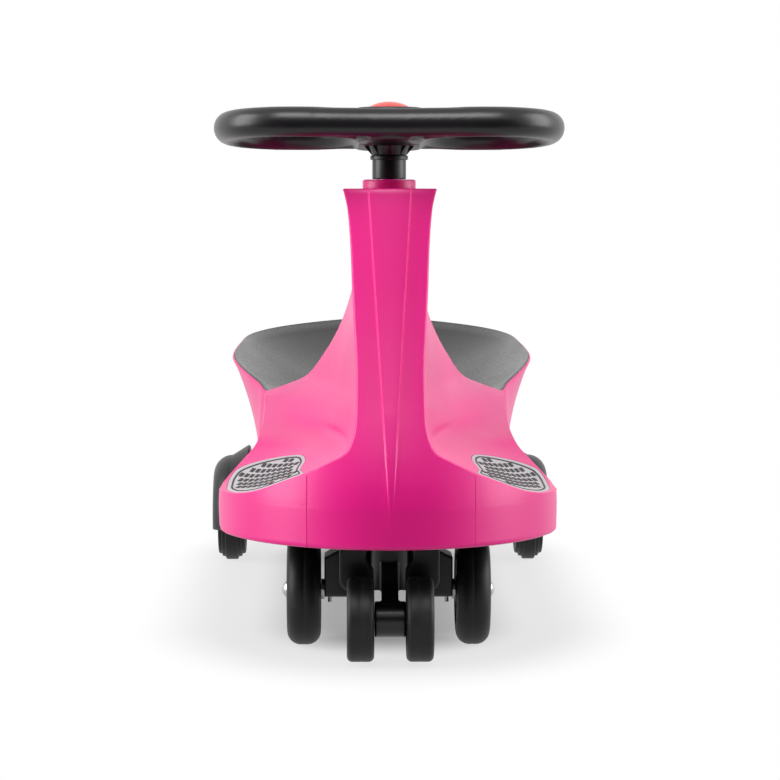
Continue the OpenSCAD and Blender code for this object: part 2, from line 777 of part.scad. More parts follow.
// Straight bar of the rim's section from lobe to lobe, and the web between it and the hub
module cross_bar(end) {
    p = lobe_point(end * 180 * bar_share);
    translate([-p.x, p.y, 0])
        rotate([90, 0, 90])
            linear_extrude(2 * p.x)
                polygon([for (j = [0:rim_steps - 1]) let (f = 360 * j / rim_steps)
                    [cos(f) * (rim_w / 2 - bar_in), sin(f) * (rim_t / 2 - bar_in)]]);
    hull() {
        translate([0, end * hub_half_len, 0])
            cylinder(r = hub_r - bar_in, h = web_t, center = true, $fn = rib_fn);
        for (side = [-1, 1])
            translate([side * p.x, p.y, 0])
                cylinder(d = spoke_end_d, h = web_t, center = true, $fn = rib_fn);
    }
}

module wheel_frame() {
    translate([0, axis_y, rim_z])
        rotate([-rim_rake, 0, 0])
            children();
}

module steering_wheel() {
    color(black)
    difference() {
        union() {
            wheel_frame() {
                for (side = [-1, 1])
                    on_side(side) {
                        lobe();
                        for (end = [-1, 1], s = spoke_shares)
                            hull() {
                                cylinder(d = spoke_d, h = spoke_t, center = true, $fn = rib_fn);
                                translate([each lobe_point(end * 180 * s), 0])
                                    cylinder(d = spoke_end_d, h = spoke_t, center = true, $fn = rib_fn);
                            }
                    }
                for (end = [-1, 1])
                    cross_bar(end);
                hull()
                    for (end = [-1, 1])
                        translate([0, end * hub_half_len, -hub_below])
                            cylinder(r = hub_r, h = rim_t, $fn = 2 * rib_fn);
            }
            translate([0, axis_y, hub_low_z])
                cylinder(r = hub_r, h = hub_top_z - hub_low_z);
        }
        translate([0, axis_y, hub_low_z - rim_t])
            cylinder(d = stem_flange_d + 2 * seat_fit, h = rim_t);
        translate([0, axis_y, hub_low_z - over])
            cylinder(r = shaft_d / 2 + seat_fit, h = shaft_in_hub + seat_fit + over);
        translate([0, axis_y, hub_low_z])
            cylinder(r = bolt_d / 2 + seat_fit, h = hub_top_z - hub_low_z);
        translate([0, axis_y, hub_top_z - recess_depth])
            cylinder(r = cap_d / 2 + seat_fit, h = recess_depth + over);
    }
}

module steering_cap() {
    dome_r = (cap_d * cap_d / 4 + cap_h * cap_h) / (2 * cap_h);
    color(red)
    translate([0, axis_y, hub_top_z]) {
        translate([0, 0, -cap_edge_h])
            cylinder(d = cap_d, h = cap_edge_h);
        intersection() {
            translate([0, 0, cap_h - dome_r])
                sphere(r = dome_r);
            cylinder(d = cap_d, h = cap_h + over);
        }
    }
}

module steering_bolt() {
    color(steel)
    translate([0, axis_y, hub_top_z - recess_depth]) {
        cylinder(d = bolt_head_d, h = bolt_head_h);
        translate([0, 0, -bolt_len])
            cylinder(d = bolt_d, h = bolt_len + bolt_head_h);
    }
}

module stem_cover() {
    low_z = column_top_z + collar_h + turn_gap;
    flare_z = hub_low_z - stem_flare_h;
    stem_r = stem_d / 2;
    color(black)
    translate([0, axis_y, 0])
        difference() {
            union() {
                translate([0, 0, low_z])
                    cylinder(r = stem_r, h = hub_low_z - low_z);
                translate([0, 0, flare_z])
                    cylinder(r1 = stem_r, r2 = (stem_r + stem_flange_d / 2) / 2, h = stem_flare_h);
                translate([0, 0, flare_z - stem_ring_h])
                    cylinder(r = stem_r + stem_ring, h = stem_ring_h);
                for (k = [0:gusset_count - 1])
                    rotate([0, 0, 360 * k / gusset_count])
                        translate([0, gusset_t / 2, flare_z])
                            rotate([90, 0, 0])
                                linear_extrude(gusset_t)
                                    polygon([[0, 0], [stem_r, 0], [stem_flange_d / 2, stem_flare_h],
                                             [0, stem_flare_h]]);
            }
            translate([0, 0, low_z - over])
                cylinder(r = shaft_d / 2 + seat_fit, h = hub_low_z - low_z + 2 * over);
        }
}

// Front bracket

// Underside of the bracket's hub and radius of the hub
bracket_low_z = 48;
bracket_hub_r = 19;
// Floor of the shaft's socket above the hub's underside
socket_floor = 3;
// Cross bolt through hub and shaft: diameter, height, head diameter, head height
cross_d = 5;
cross_z = 62;
cross_head_d = 9;
cross_head_h = 3.5;
// Wings: outer end, underside, top at the outer end, crown half width, thickness along the car
wing_reach = 47;
wing_low_z = 37.7;
wing_top_z = 66;
crown_half_w = 16;
wing_t = 34;
// Scoop below the middle of the wings: half widths and height
scoop_half_w = 20;
wing_foot = 29;
scoop_z = 52;
// Boss round a front axle bolt, and how far the bolt reaches in
axle_boss_r = 6;
axle_grip = 20;
// Rounded petals ahead of the wings: inner and outer edge, underside, corner radius, thickness,
// place ahead of the axis, and the share of their width cut off at the inner top
petal_in = 6.6;
petal_out = 36;
petal_low_z = 47.6;
petal_r = 7;
petal_t = 8;
petal_lead = 7;
petal_cut_share = 0.35;
// Drum between the safety wheels and the arm that carries it
drum_r = 12.7;
drum_half_w = 11;
arm_half_w = 6;
arm_h = 20;

module wings() {
    translate([0, front_axle_y + wing_t / 2, 0])
        rotate([90, 0, 0])
            linear_extrude(wing_t)
                polygon([[-wing_reach, wing_low_z], [-wing_reach, wing_top_z],
                         [-crown_half_w, bracket_top_z - washer_t], [crown_half_w, bracket_top_z - washer_t],
                         [wing_reach, wing_top_z], [wing_reach, wing_low_z], [wing_foot, wing_low_z],
                         [scoop_half_w, scoop_z], [-scoop_half_w, scoop_z], [-wing_foot, wing_low_z]]);
}

module petal() {
    top_z = bracket_top_z - washer_t;
    cut = (petal_out - petal_in) * petal_cut_share;
    translate([0, axis_y - petal_lead, 0])
        rotate([90, 0, 0])
            linear_extrude(petal_t)
                polygon(concat(
                    arc([petal_in + petal_r / 2, petal_low_z + petal_r / 2], petal_r / 2, 180, 270),
                    arc([petal_out - petal_r, petal_low_z + petal_r], petal_r, 270, 360),
                    arc([petal_out - petal_r, top_z - petal_r], petal_r, 0, 90),
                    arc([petal_in, top_z - cut], cut, 90, 0)));
}

// Arm from the hub forward and down to the drum
module arm() {
    translate([arm_half_w, 0, 0])
        rotate([90, 0, -90])
            linear_extrude(2 * arm_half_w)
                polygon([[-axis_y, bracket_top_z - washer_t], [-axis_y, bracket_low_z],
                         [-safety_axle_y, safety_axle_z], [-safety_axle_y, safety_axle_z + drum_r],
                         [-axis_y + bracket_hub_r, bracket_low_z + arm_h]]);
}

module x_cylinder(r, x0, x1, y, z) {
    translate([x0, y, z])
        rotate([0, 90, 0])
            cylinder(r = r, h = x1 - x0);
}

module front_bracket() {
    color(black)
    difference() {
        union() {
            translate([0, axis_y, bracket_low_z])
                cylinder(r = bracket_hub_r, h = bracket_top_z - bracket_low_z);
            translate([-crown_half_w, axis_y, scoop_z])
                cube([2 * crown_half_w, front_trail, bracket_top_z - washer_t - scoop_z]);
            wings();
            for (side = [-1, 1])
                on_side(side) {
                    petal();
                    x_cylinder(axle_boss_r, wing_reach - axle_grip - over, wing_reach,
                               front_axle_y, front_axle_z);
                }
            arm();
            x_cylinder(drum_r, -drum_half_w, drum_half_w, safety_axle_y, safety_axle_z);
        }
        translate([0, axis_y, bracket_low_z + socket_floor])
            cylinder(r = shaft_d / 2 + run_fit, h = bracket_top_z);
        x_cylinder(cross_d / 2 + run_fit, -petal_out, petal_out, axis_y, cross_z);
        x_cylinder(safety_axle_d / 2 + run_fit, -drum_half_w - over, drum_half_w + over,
                   safety_axle_y, safety_axle_z);
        for (side = [-1, 1])
            on_side(side) {
                x_cylinder(front_axle_d / 2 + run_fit, wing_reach - axle_grip, wing_reach + over,
                           front_axle_y, front_axle_z);
                translate([wing_reach - set_screw_in, front_axle_y, 0])
                    cylinder(r = set_screw_d / 2 + run_fit, h = front_axle_z);
            }
    }
}

module steering_shaft() {
    low_z = bracket_low_z + socket_floor + run_fit;
    color(steel)
    difference() {
        translate([0, axis_y, low_z])
            cylinder(d = shaft_d, h = shaft_top_z - low_z);
        translate([0, axis_y, hub_top_z - recess_depth - bolt_len - over])
            cylinder(r = bolt_d / 2 + run_fit, h = bolt_len + recess_depth);
        x_cylinder(cross_d / 2 + run_fit, -shaft_d, shaft_d, axis_y, cross_z);
    }
}

module bracket_bolt() {
    color(steel) {
        x_cylinder(cross_d / 2, -bracket_hub_r - 2 * cross_head_h, bracket_hub_r + cross_head_h,
                   axis_y, cross_z);
        x_cylinder(cross_head_d / 2, bracket_hub_r, bracket_hub_r + cross_head_h, axis_y, cross_z);
    }
}

module bracket_nut() {
    color(steel)
    difference() {
        x_cylinder(cross_head_d / 2, -bracket_hub_r - cross_head_h, -bracket_hub_r, axis_y, cross_z);
        x_cylinder(cross_d / 2 + run_fit, -bracket_hub_r - 2 * cross_head_h, 0, axis_y, cross_z);
    }
}

// Front axles and safety axle

// Set screws below the wing ends: diameter, length, distance in from the wing's end
set_screw_d = 3;
set_screw_len = 6;
set_screw_in = 4;
// Domed head of a front axle bolt: diameter and height
axle_head_d = 13;
axle_head_h = 3.5;
// Radius of the spacer between a wing and its wheel
spacer_r = 7.5;
// Caps on the ends of the safety axle: diameter and thickness
safety_cap_d = 11;
safety_cap_t = 3;

front_in_x = (front_track - front_w) / 2;
front_out_x = (front_track + front_w) / 2;
safety_out_x = (safety_track + safety_w) / 2;
safety_boss_x = safety_out_x - safety_cap_t - side_play;

module front_axle(side) {
    dome_r = (axle_head_d * axle_head_d / 4 + axle_head_h * axle_head_h) / (2 * axle_head_h);
    head_x = front_out_x + side_play;
    in_x = wing_reach - axle_grip + run_fit;
    color(steel)
    on_side(side)
        translate([0, front_axle_y, front_axle_z])
            rotate([0, 90, 0])
                rotate_extrude()
                    polygon(concat(
                        [[0, in_x], [front_axle_d / 2, in_x], [front_axle_d / 2, head_x]],
                        arc([0, head_x + axle_head_h - dome_r], dome_r, acos(axle_head_d / 2 / dome_r), 90)));
}

module front_axle_left() { front_axle(-1); }

module front_axle_right() { front_axle(1); }

module front_spacers() {
    color(steel)
    for (side = [-1, 1])
        on_side(side)
            difference() {
                x_cylinder(spacer_r, wing_reach, front_in_x - side_play, front_axle_y, front_axle_z);
                x_cylinder(front_axle_d / 2 + run_fit, wing_reach - over, front_in_x,
                           front_axle_y, front_axle_z);
            }
}

module axle_set_screws() {
    color(steel)
    for (side = [-1, 1])
        on_side(side)
            translate([wing_reach - set_screw_in, front_axle_y,
                       front_axle_z - front_axle_d / 2 - run_fit - set_screw_len])
                cylinder(d = set_screw_d, h = set_screw_len);
}

module safety_axle() {
    end_x = safety_boss_x + side_play + safety_cap_t / 2;
    color(steel)
    x_cylinder(safety_axle_d / 2, -end_x, end_x, safety_axle_y, safety_axle_z);
}

module safety_axle_caps() {
    in_x = safety_boss_x + side_play;
    color(black)
    for (side = [-1, 1])
        on_side(side)
            difference() {
                x_cylinder(safety_cap_d / 2, in_x, in_x + safety_cap_t, safety_axle_y, safety_axle_z);
                x_cylinder(safety_axle_d / 2 + run_fit, in_x - over, in_x + safety_cap_t / 2 + run_fit,
                           safety_axle_y, safety_axle_z);
            }
}

// Wheels

// Radii of the front wheel's rim, web and boss, and width of its web
front_rim_r = 27;
front_web_r = 22;
front_boss_r = 10;
front_web_w = 10;
// Inset of a hub's rim from the tyre's side faces
hub_inset = 1;
// Corner radius of the front tyre
front_crown_r = 10;
// Radii of the safety wheel's rim, web and boss, width of its web and corner radius of its tyre
safety_rim_r = 19;
safety_web_r = 15;
safety_boss_r = 7;
safety_web_w = 9;
safety_crown_r = 4;
// Radii of the rear wheel's rim, web and boss, width of its web and corner radius of its tyre
rear_rim_r = 26;
rear_web_r = 21;
rear_boss_r = 10;
rear_web_w = 10;
rear_crown_r = 2.5;

// Points of an arc round a centre
function arc(c, r, from, to, n = 6) =
    [for (k = [0:n]) let (a = from + (to - from) * k / n) [c.x + r * cos(a), c.y + r * sin(a)]];

// Right half of a tyre's section: its outline from the rim to the middle of the tread
function round_tread(rim_r, r, w, crown) = concat(
    [[rim_r, w / 2]],
    arc([r - crown, w / 2 - crown], crown, 90, 0));

function step_tread(rim_r, r, w, crown, band, shoulder, step) = concat(
    [[rim_r, w / 2]],
    arc([r - 2 * step - crown, w / 2 - crown], crown, 90, 0),
    [[r - 2 * step, band / 2 + shoulder]],
    arc([r - step - crown / 2, band / 2 + shoulder - crown / 2], crown / 2, 90, 0),
    [[r - step, band / 2]],
    arc([r - crown, band / 2 - crown], crown, 90, 0));

// Turns a half section about the X axis at a wheel's place
module turned(x, y, z, half) {
    translate([x, y, z])
        rotate([0, 90, 0])
            rotate_extrude()
                polygon(concat(half, [for (i = [len(half) - 1:-1:0]) [half[i].x, -half[i].y]]));
}

module hub(x, y, z, bore_r, boss_r, web_r, rim_r, w, web_w) {
    turned(x, y, z, [[bore_r, w / 2], [boss_r, w / 2], [boss_r, web_w / 2], [web_r, web_w / 2],
                     [web_r, w / 2 - hub_inset], [rim_r, w / 2 - hub_inset]]);
}

module front_tyre(side) {
    color(black)
    turned(side * front_track / 2, front_axle_y, front_axle_z,
           round_tread(front_rim_r + run_fit, front_d / 2, front_w, front_crown_r));
}

module front_hub(side) {
    color(fender_grey)
    hub(side * front_track / 2, front_axle_y, front_axle_z, front_axle_d / 2 + run_fit, front_boss_r,
        front_web_r, front_rim_r, front_w, front_web_w);
}

module safety_tyre(side) {
    color(black)
    turned(side * safety_track / 2, safety_axle_y, safety_axle_z,
           round_tread(safety_rim_r + run_fit, safety_d / 2, safety_w, safety_crown_r));
}

module safety_hub(side) {
    color(fender_grey)
    difference() {
        hub(side * safety_track / 2, safety_axle_y, safety_axle_z, safety_axle_d / 2 + run_fit, safety_boss_r,
            safety_web_r, safety_rim_r, safety_w, safety_web_w);
        on_side(side)
            x_cylinder(safety_web_r - run_fit, safety_boss_x, safety_out_x + over,
                       safety_axle_y, safety_axle_z);
    }
}

module rear_tyre(side) {
    color(black)
    turned(side * rear_track / 2, rear_axle_y, rear_axle_z,
           step_tread(rear_rim_r + run_fit, rear_d / 2, rear_w, rear_crown_r, rear_band_w, rear_shoulder_w,
                      rear_step));
}

module rear_hub(side) {
    color(fender_grey)
    hub(side * rear_track / 2, rear_axle_y, rear_axle_z, rear_axle_d / 2 + run_fit, rear_boss_r,
        rear_web_r, rear_rim_r, rear_w, rear_web_w);
}

module front_tyre_left() { front_tyre(-1); }
module front_hub_left() { front_hub(-1); }
module front_tyre_right() { front_tyre(1); }
module front_hub_right() { front_hub(1); }
module safety_tyre_left() { safety_tyre(-1); }
module safety_hub_left() { safety_hub(-1); }
module safety_tyre_right() { safety_tyre(1); }
module safety_hub_right() { safety_hub(1); }
module rear_tyre_left() { rear_tyre(-1); }
module rear_hub_left() { rear_hub(-1); }
module rear_tyre_right() { rear_tyre(1); }
module rear_hub_right() { rear_hub(1); }

// Rear fenders

// Gap between a rear tyre's tread and the fender round it
tread_gap = 5;
// Height of the fender's lower edge above the floor
fender_low_z = 31.7;
// Fall of the fender's top towards its outer side, and its corner radius there
fender_fall = 9;
fender_round = 17;
// Boss round the axle's end on the outer wall: radius and height
axle_end_r = 11;
axle_end_h = 1;
// Depth of the axle's blind end in the outer wall
axle_blind = 1.5;

module fender(side) {
    well_r = rear_d / 2 + tread_gap;
    top_r = fender_r - fender_fall;
    color(fender_grey)
    on_side(side)
        difference() {
            union() {
                translate([0, rear_axle_y, rear_axle_z])
                    rotate([0, 90, 0])
                        rotate_extrude()
                            polygon(concat(
                                [[0, fender_in_x], [fender_r, fender_in_x]],
                                arc([top_r - fender_round, fender_out_x - fender_round], fender_round, 0, 90),
                                [[0, fender_out_x]]));
                x_cylinder(axle_end_r, fender_out_x - fender_wall / 2, fender_out_x + axle_end_h,
                           rear_axle_y, rear_axle_z);
                translate([fender_screw_x - foot_margin, rear_axle_y - foot_len / 2, base_z - foot_t])
                    cube([fender_in_x + fender_wall - fender_screw_x + foot_margin, foot_len, foot_t]);
            }
            x_cylinder(well_r, fender_in_x + fender_wall, fender_out_x - fender_wall,
                       rear_axle_y, rear_axle_z);
            x_cylinder(rear_axle_d / 2 + run_fit, 0, fender_out_x - axle_blind, rear_axle_y, rear_axle_z);
            translate([0, rear_axle_y - fender_r - over, rear_axle_z - fender_r - over])
                cube([fender_out_x + axle_end_h + over, 2 * fender_r + 2 * over,
                      fender_low_z + fender_r + over - rear_axle_z]);
            for (along = [-1, 1])
                translate([fender_screw_x, rear_axle_y + along * fender_screw_half, base_z - foot_t - over])
                    cylinder(d = fender_screw_d + 2 * seat_fit, h = foot_t + 2 * over);
        }
}

module fender_left() { fender(-1); }

module fender_right() { fender(1); }

module fender_screws() {
    color(steel)
    fender_screw_places()
        translate([0, 0, base_z - foot_t]) {
            translate([0, 0, -fender_head_h])
                cylinder(d = fender_head_d, h = fender_head_h);
            cylinder(d = fender_screw_d, h = fender_screw_len);
        }
}

module rear_axle() {
    end_x = fender_out_x - axle_blind - run_fit;
    color(steel)
    x_cylinder(rear_axle_d / 2, -end_x, end_x, rear_axle_y, rear_axle_z);
}

body_shell();
belly_pan();
belly_screws();
seat_panel();
footplate_left();
footplate_right();
column_collar();
lower_bush();
rear_axle();
fender_left();
fender_right();
fender_screws();
steering_wheel();
steering_cap();
steering_bolt();
stem_cover();
steering_shaft();
front_bracket();
bracket_bolt();
bracket_nut();
thrust_washer();
front_axle_left();
front_axle_right();
front_spacers();
axle_set_screws();
safety_axle();
safety_axle_caps();
front_tyre_left();
front_hub_left();
front_tyre_right();
front_hub_right();
safety_tyre_left();
safety_hub_left();
safety_tyre_right();
safety_hub_right();
rear_tyre_left();
rear_hub_left();
rear_tyre_right();
rear_hub_right();
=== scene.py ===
"""Wiggle car: the looks of a moulded ride-on toy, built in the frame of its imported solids."""

import logging
import math
from dataclasses import dataclass, field
from enum import Enum
from typing import Any, Callable, Optional, Sequence, Union

import bmesh
import bpy
from bpy.types import Material, Node, NodeSocket, Object
from mathutils import Matrix, Vector


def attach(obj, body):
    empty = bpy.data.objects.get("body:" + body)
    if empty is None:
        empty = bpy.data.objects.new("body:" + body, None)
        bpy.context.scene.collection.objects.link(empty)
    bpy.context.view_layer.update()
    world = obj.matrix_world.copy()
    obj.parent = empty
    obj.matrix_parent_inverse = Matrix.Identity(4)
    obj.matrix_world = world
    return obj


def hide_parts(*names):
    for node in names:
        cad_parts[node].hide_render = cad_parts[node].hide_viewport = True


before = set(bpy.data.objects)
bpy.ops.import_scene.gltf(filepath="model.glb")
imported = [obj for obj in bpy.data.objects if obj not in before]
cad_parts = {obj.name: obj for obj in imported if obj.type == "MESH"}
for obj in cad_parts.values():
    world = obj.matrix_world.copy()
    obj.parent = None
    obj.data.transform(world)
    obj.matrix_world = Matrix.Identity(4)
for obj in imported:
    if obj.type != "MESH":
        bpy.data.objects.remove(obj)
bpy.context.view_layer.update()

log = logging.getLogger("wiggle_car")

MM = 0.001
"""Metres in a millimetre: pieces are worked in millimetres and finished in metres."""

MERGE = 0.002
"""Points closer than this, in millimetres, are one."""

FLAT_DEG = 0.5
"""Faces that fold by less than this are one."""

QUARTER = math.pi / 2
"""A quarter of a turn."""

ROUGHEST = 0.95
"""No finish is rougher than this."""

AXIS_Y = -295.0
"""Lengthwise place of the steering axis."""

TOP_Z = 335.0
"""Height of the column's top."""

BASE_Z = 86.0
"""Height of the body's lower edge."""

Row = list[Vector]
"""Points along one line of a surface."""

Profile = list[tuple[float, float]]
"""Points of a flat outline, such as radius and place along an axis."""

Number = Union["Wire", float]
"""A value that varies over a surface, or a plain number."""


class Side(Enum):
    """The two sides of the car, seen from the front."""

    LEFT = -1
    RIGHT = 1

    @property
    def sign(self) -> int:
        """Direction of this side along X."""
        return self.value

    @property
    def word(self) -> str:
        """The side's name as the pieces use it."""
        return self.name.lower()


class Cut(Enum):
    """How one workpiece changes another."""

    AWAY = "DIFFERENCE"
    TOGETHER = "UNION"


class Slot(Enum):
    """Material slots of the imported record."""

    BODY = "body_pink"
    SEAT = "seat_grey"
    PLATE = "plate_silver"
    FENDER = "fender_grey"
    BLACK = "black_plastic"
    CAP = "cap_red"
    STEEL = "steel"
    NYLON = "nylon"
    TYRE = "tyre_black"
    HUB = "hub_black"


def linear(red: float, green: float, blue: float) -> tuple[float, float, float, float]:
    """Turns a screen colour into the colour a shader takes.

    Args:
        red: Red from 0 to 255.
        green: Green from 0 to 255.
        blue: Blue from 0 to 255.

    Returns:
        Linear red, green and blue, and full alpha.
    """
    parts = [c / 255 for c in (red, green, blue)]
    bright = [c / 12.92 if c <= 0.04045 else ((c + 0.055) / 1.055) ** 2.4 for c in parts]
    return (bright[0], bright[1], bright[2], 1.0)


class Wire:
    """A value in a node tree. Arithmetic on it adds Math nodes."""

    def __init__(self, bench: "Bench", socket: NodeSocket) -> None:
        """Holds one output socket of a bench's tree."""
        self.bench = bench
        self.socket = socket

    def _math(self, operation: str, *values: Number) -> "Wire":
        """Result of a Math node with these inputs in order."""
        return self.bench.node("ShaderNodeMath", {"operation": operation}, dict(enumerate(values)))["Value"]

    def __add__(self, other: Number) -> "Wire":
        """Sum of two values."""
        return self._math("ADD", self, other)

    __radd__ = __add__

    def __sub__(self, other: Number) -> "Wire":
        """This value less another."""
        return self._math("SUBTRACT", self, other)

    def __rsub__(self, other: Number) -> "Wire":
        """Another value less this one."""
        return self._math("SUBTRACT", other, self)

    def __mul__(self, other: Number) -> "Wire":
        """Product of two values."""
        return self._math("MULTIPLY", self, other)

    __rmul__ = __mul__

    def __pow__(self, other: Number) -> "Wire":
        """This value to a power."""
        return self._math("POWER", self, other)

    def most(self, other: Number) -> "Wire":
        """The larger of two values."""
        return self._math("MAXIMUM", self, other)

    def least(self, other: Number) -> "Wire":
        """The smaller of two values."""
        return self._math("MINIMUM", self, other)

    def step(self, low: float, high: float) -> "Wire":
        """Eases from 0 to 1 while this value goes from low to high.

        Args:
            low: Where the step starts.
            high: Where it ends; less than low turns the step round.

        Returns:
            The eased value.
        """
        made = self.bench.node(
            "ShaderNodeMapRange",
            {"interpolation_type": "SMOOTHSTEP"},
            {"Value": self, "From Min": low, "From Max": high, "To Min": 0.0, "To Max": 1.0},
        )
        return made["Result"]


class Made:
    """A node that has been added to a bench."""

    def __init__(self, bench: "Bench", node: Node) -> None:
        """Holds one node of a bench's tree."""
        self.bench = bench
        self.node = node

    def __getitem__(self, output: Union[str, int]) -> Wire:
        """One of the node's outputs, by name or place."""
        return Wire(self.bench, self.node.outputs[output])


class Bench:
    """The node tree of one material, and the place where its nodes are added."""

    def __init__(self, tree: bpy.types.NodeTree) -> None:
        """Empties the tree that is to be filled."""
        self.tree = tree
        self.tree.nodes.clear()

    def node(
        self,
        kind: str,
        settings: Optional[dict[str, Any]] = None,
        values: Optional[dict[Union[str, int], Any]] = None,
    ) -> Made:
        """Adds one node.

        Args:
            kind: The node's type.
            settings: Its settings by name.
            values: Numbers, colours or wires for its inputs, by name or place.

        Returns:
            The node, whose outputs can be wired on.
        """
        node = self.tree.nodes.new(kind)
        for key, value in (settings or {}).items():
            setattr(node, key, value)
        for key, value in (values or {}).items():
            if isinstance(value, Wire):
                self.tree.links.new(value.socket, node.inputs[key])
            else:
                node.inputs[key].default_value = value
        return Made(self, node)

    def place(self) -> Wire:
        """Object coordinates, in metres."""
        return self.node("ShaderNodeTexCoord")["Object"]

    def axes(self) -> tuple[Wire, Wire, Wire]:
        """Object coordinates along X, Y and Z."""
        split = self.node("ShaderNodeSeparateXYZ", None, {0: self.place()})
        return split["X"], split["Y"], split["Z"]

    def noise(self, scale: float, detail: float = 2.0, stretch: Sequence[float] = (1, 1, 1)) -> Wire:
        """Noise from 0 to 1, by its grains in a metre, layers of finer noise and stretch along each axis."""
        spot = self.node("ShaderNodeMapping", None, {"Vector": self.place(), "Scale": tuple(stretch)})["Vector"]
        return self.node("ShaderNodeTexNoise", None, {"Vector": spot, "Scale": scale, "Detail": detail})[0]

    def mix(self, share: Number, one: Any, other: Any) -> Wire:
        """A colour between two colours: share 0 gives the first, 1 the second."""
        return self.node("ShaderNodeMix", {"data_type": "RGBA"}, {0: share, 6: one, 7: other})[2]

    def bump(self, height: Wire, depth: float, strength: float) -> Wire:
        """A normal from a height from 0 to 1, by its depth in metres and the share that shows."""
        values = {"Height": height, "Distance": depth, "Strength": strength}
        return self.node("ShaderNodeBump", None, values)["Normal"]

    def surface(self, values: dict[str, Any]) -> None:
        """Ends the tree in one principled surface with these inputs."""
        shader = self.node("ShaderNodeBsdfPrincipled", None, values)
        self.node("ShaderNodeOutputMaterial", None, {"Surface": shader["BSDF"]})


@dataclass(frozen=True)
class Finish:
    """A finish that is made into a material once and then shared."""

    name: str
    colour: tuple[float, float, float]
    roughness: float

    def wire(self, bench: Bench) -> None:
        """Wires the finish's nodes into an empty tree."""
        raise NotImplementedError

    def material(self) -> Material:
        """The finish as a material.

        Returns:
            The material, made at the first call.
        """
        label = f"{self.name}_finish"
        found = bpy.data.materials.get(label)
        if found is not None:
            return found
        made = bpy.data.materials.new(label)
        made.use_nodes = True
        self.wire(Bench(made.node_tree))
        made.diffuse_color = linear(*self.colour)
        return made


@dataclass(frozen=True)
class MouldedPlastic(Finish):
    """Injection-moulded plastic with a fine skin, soft waves and edges painted paler, partly as wear and partly as
    a painted highlight.
    """

    tint: tuple[float, float, float] = (0, 0, 0)
    grain: float = 900
    grain_depth: float = 0.00002
    wave_depth: float = 0.0001
    coat: float = 0.0
    # Share of the pale edge colour, which is partly wear and partly a painted highlight.
    rubbed: float = 0.25
    specular: float = 0.5

    def wire(self, bench: Bench) -> None:
        """Wires colour drift, paler edges (wear and painted highlight), roughness drift and a two-scale skin.

        Args:
            bench: The empty tree.
        """
        drift = bench.noise(9, 3)
        skin = bench.noise(self.grain, 2)
        wave = bench.noise(38, 1)
        # Sharp edges are painted paler in patches: partly wear, partly a painted highlight along the edges.
        edge = bench.node("ShaderNodeNewGeometry")["Pointiness"].step(0.53, 0.62)
        wear_and_highlight = edge * bench.noise(260, 4).step(0.42, 0.66) * self.rubbed
        plain = bench.mix(drift.step(0.3, 0.75), linear(*self.colour), linear(*self.tint))
        pale = tuple(c + (255 - c) * 0.35 for c in self.colour)
        bench.surface({
            "Base Color": bench.mix(wear_and_highlight, plain, linear(*pale)),
            "Roughness": (drift * 0.1 + skin * 0.06 + wear_and_highlight * 0.2 + (self.roughness - 0.08)).least(ROUGHEST),
            "Specular IOR Level": self.specular,
            "Coat Weight": self.coat,
            "Coat Roughness": 0.12,
            "Normal": bench.bump(
                skin * (self.grain_depth / self.wave_depth) + wave, self.wave_depth, 0.6
            ),
        })


@dataclass(frozen=True)
class GrainedPlastic(Finish):
    """Matt plastic with a leather-like moulded grain."""

    tint: tuple[float, float, float] = (0, 0, 0)
    cell: float = 620
    depth: float = 0.00012
    specular: float = 0.4

    def wire(self, bench: Bench) -> None:
        """Wires cells with soft valleys, painted darker as shade, over a slow colour drift.

        Args:
            bench: The empty tree.
        """
        cells = bench.node(
            "ShaderNodeTexVoronoi", {"feature": "SMOOTH_F1"},
            {"Vector": bench.place(), "Scale": self.cell, "Smoothness": 0.6},
        )["Distance"]
        drift = bench.noise(12, 3)
        fine = bench.noise(2400, 2)
        top = 1 - cells.step(0.1, 0.75)
        # The grain's valleys are painted darker as painted shade, mixed with a random colour drift.
        valley_shade_and_drift = (top * 0.35 + drift * 0.65).step(0.15, 0.85)
        bench.surface({
            "Base Color": bench.mix(valley_shade_and_drift, linear(*self.tint), linear(*self.colour)),
            "Roughness": (fine * 0.08 + drift * 0.1 - top * 0.06 + self.roughness).least(ROUGHEST),
            "Specular IOR Level": self.specular,
            "Normal": bench.bump(top + fine * 0.2, self.depth, 0.7),
        })


@dataclass(frozen=True)
class TyreRubber(Finish):
    """Cast polyurethane: even, slightly waxy, with a trace of floor dust on the tread."""

    dust: tuple[float, float, float] = (96, 94, 92)

    def wire(self, bench: Bench) -> None:
        """Wires dust in patches and a fine skin.

        Args:
            bench: The empty tree.
        """
        patch = bench.noise(70, 5)
        skin = bench.noise(1500, 3)
        mould = bench.noise(160, 1)
        share = patch.step(0.5, 0.8) * skin.step(0.4, 0.65) * 0.16
        bench.surface({
            "Base Color": bench.mix(share, linear(*self.colour), linear(*self.dust)),
            "Roughness": (patch * 0.12 + skin * 0.06 + (self.roughness - 0.09)).least(ROUGHEST),
            "Specular IOR Level": 0.3,
            "Normal": bench.bump(skin * 0.5 + mould, 0.00006, 0.6),
        })


@dataclass(frozen=True)
class PlatedMetal(Finish):
    """Zinc-plated steel with fine drawing marks and dull spots."""

    stretch: tuple[float, float, float] = (40, 900, 900)
    metallic: float = 1.0

    def wire(self, bench: Bench) -> None:
        """Wires drawing marks and spots into colour, roughness and bump.

        Args:
            bench: The empty tree.
        """
        marks = bench.noise(1, 4, self.stretch)
        spots = bench.noise(420, 4)
        dull = spots.step(0.55, 0.78)
        dark = tuple(c * 0.62 for c in self.colour)
        bench.surface({
            "Base Color": bench.mix(dull * 0.45 + marks * 0.2, linear(*self.colour), linear(*dark)),
            "Metallic": self.metallic,
            "Roughness": (marks * 0.16 + dull * 0.16 + (self.roughness - 0.08)).least(ROUGHEST),
            "Normal": bench.bump(marks + spots * 0.3, 0.00003, 0.5),
        })


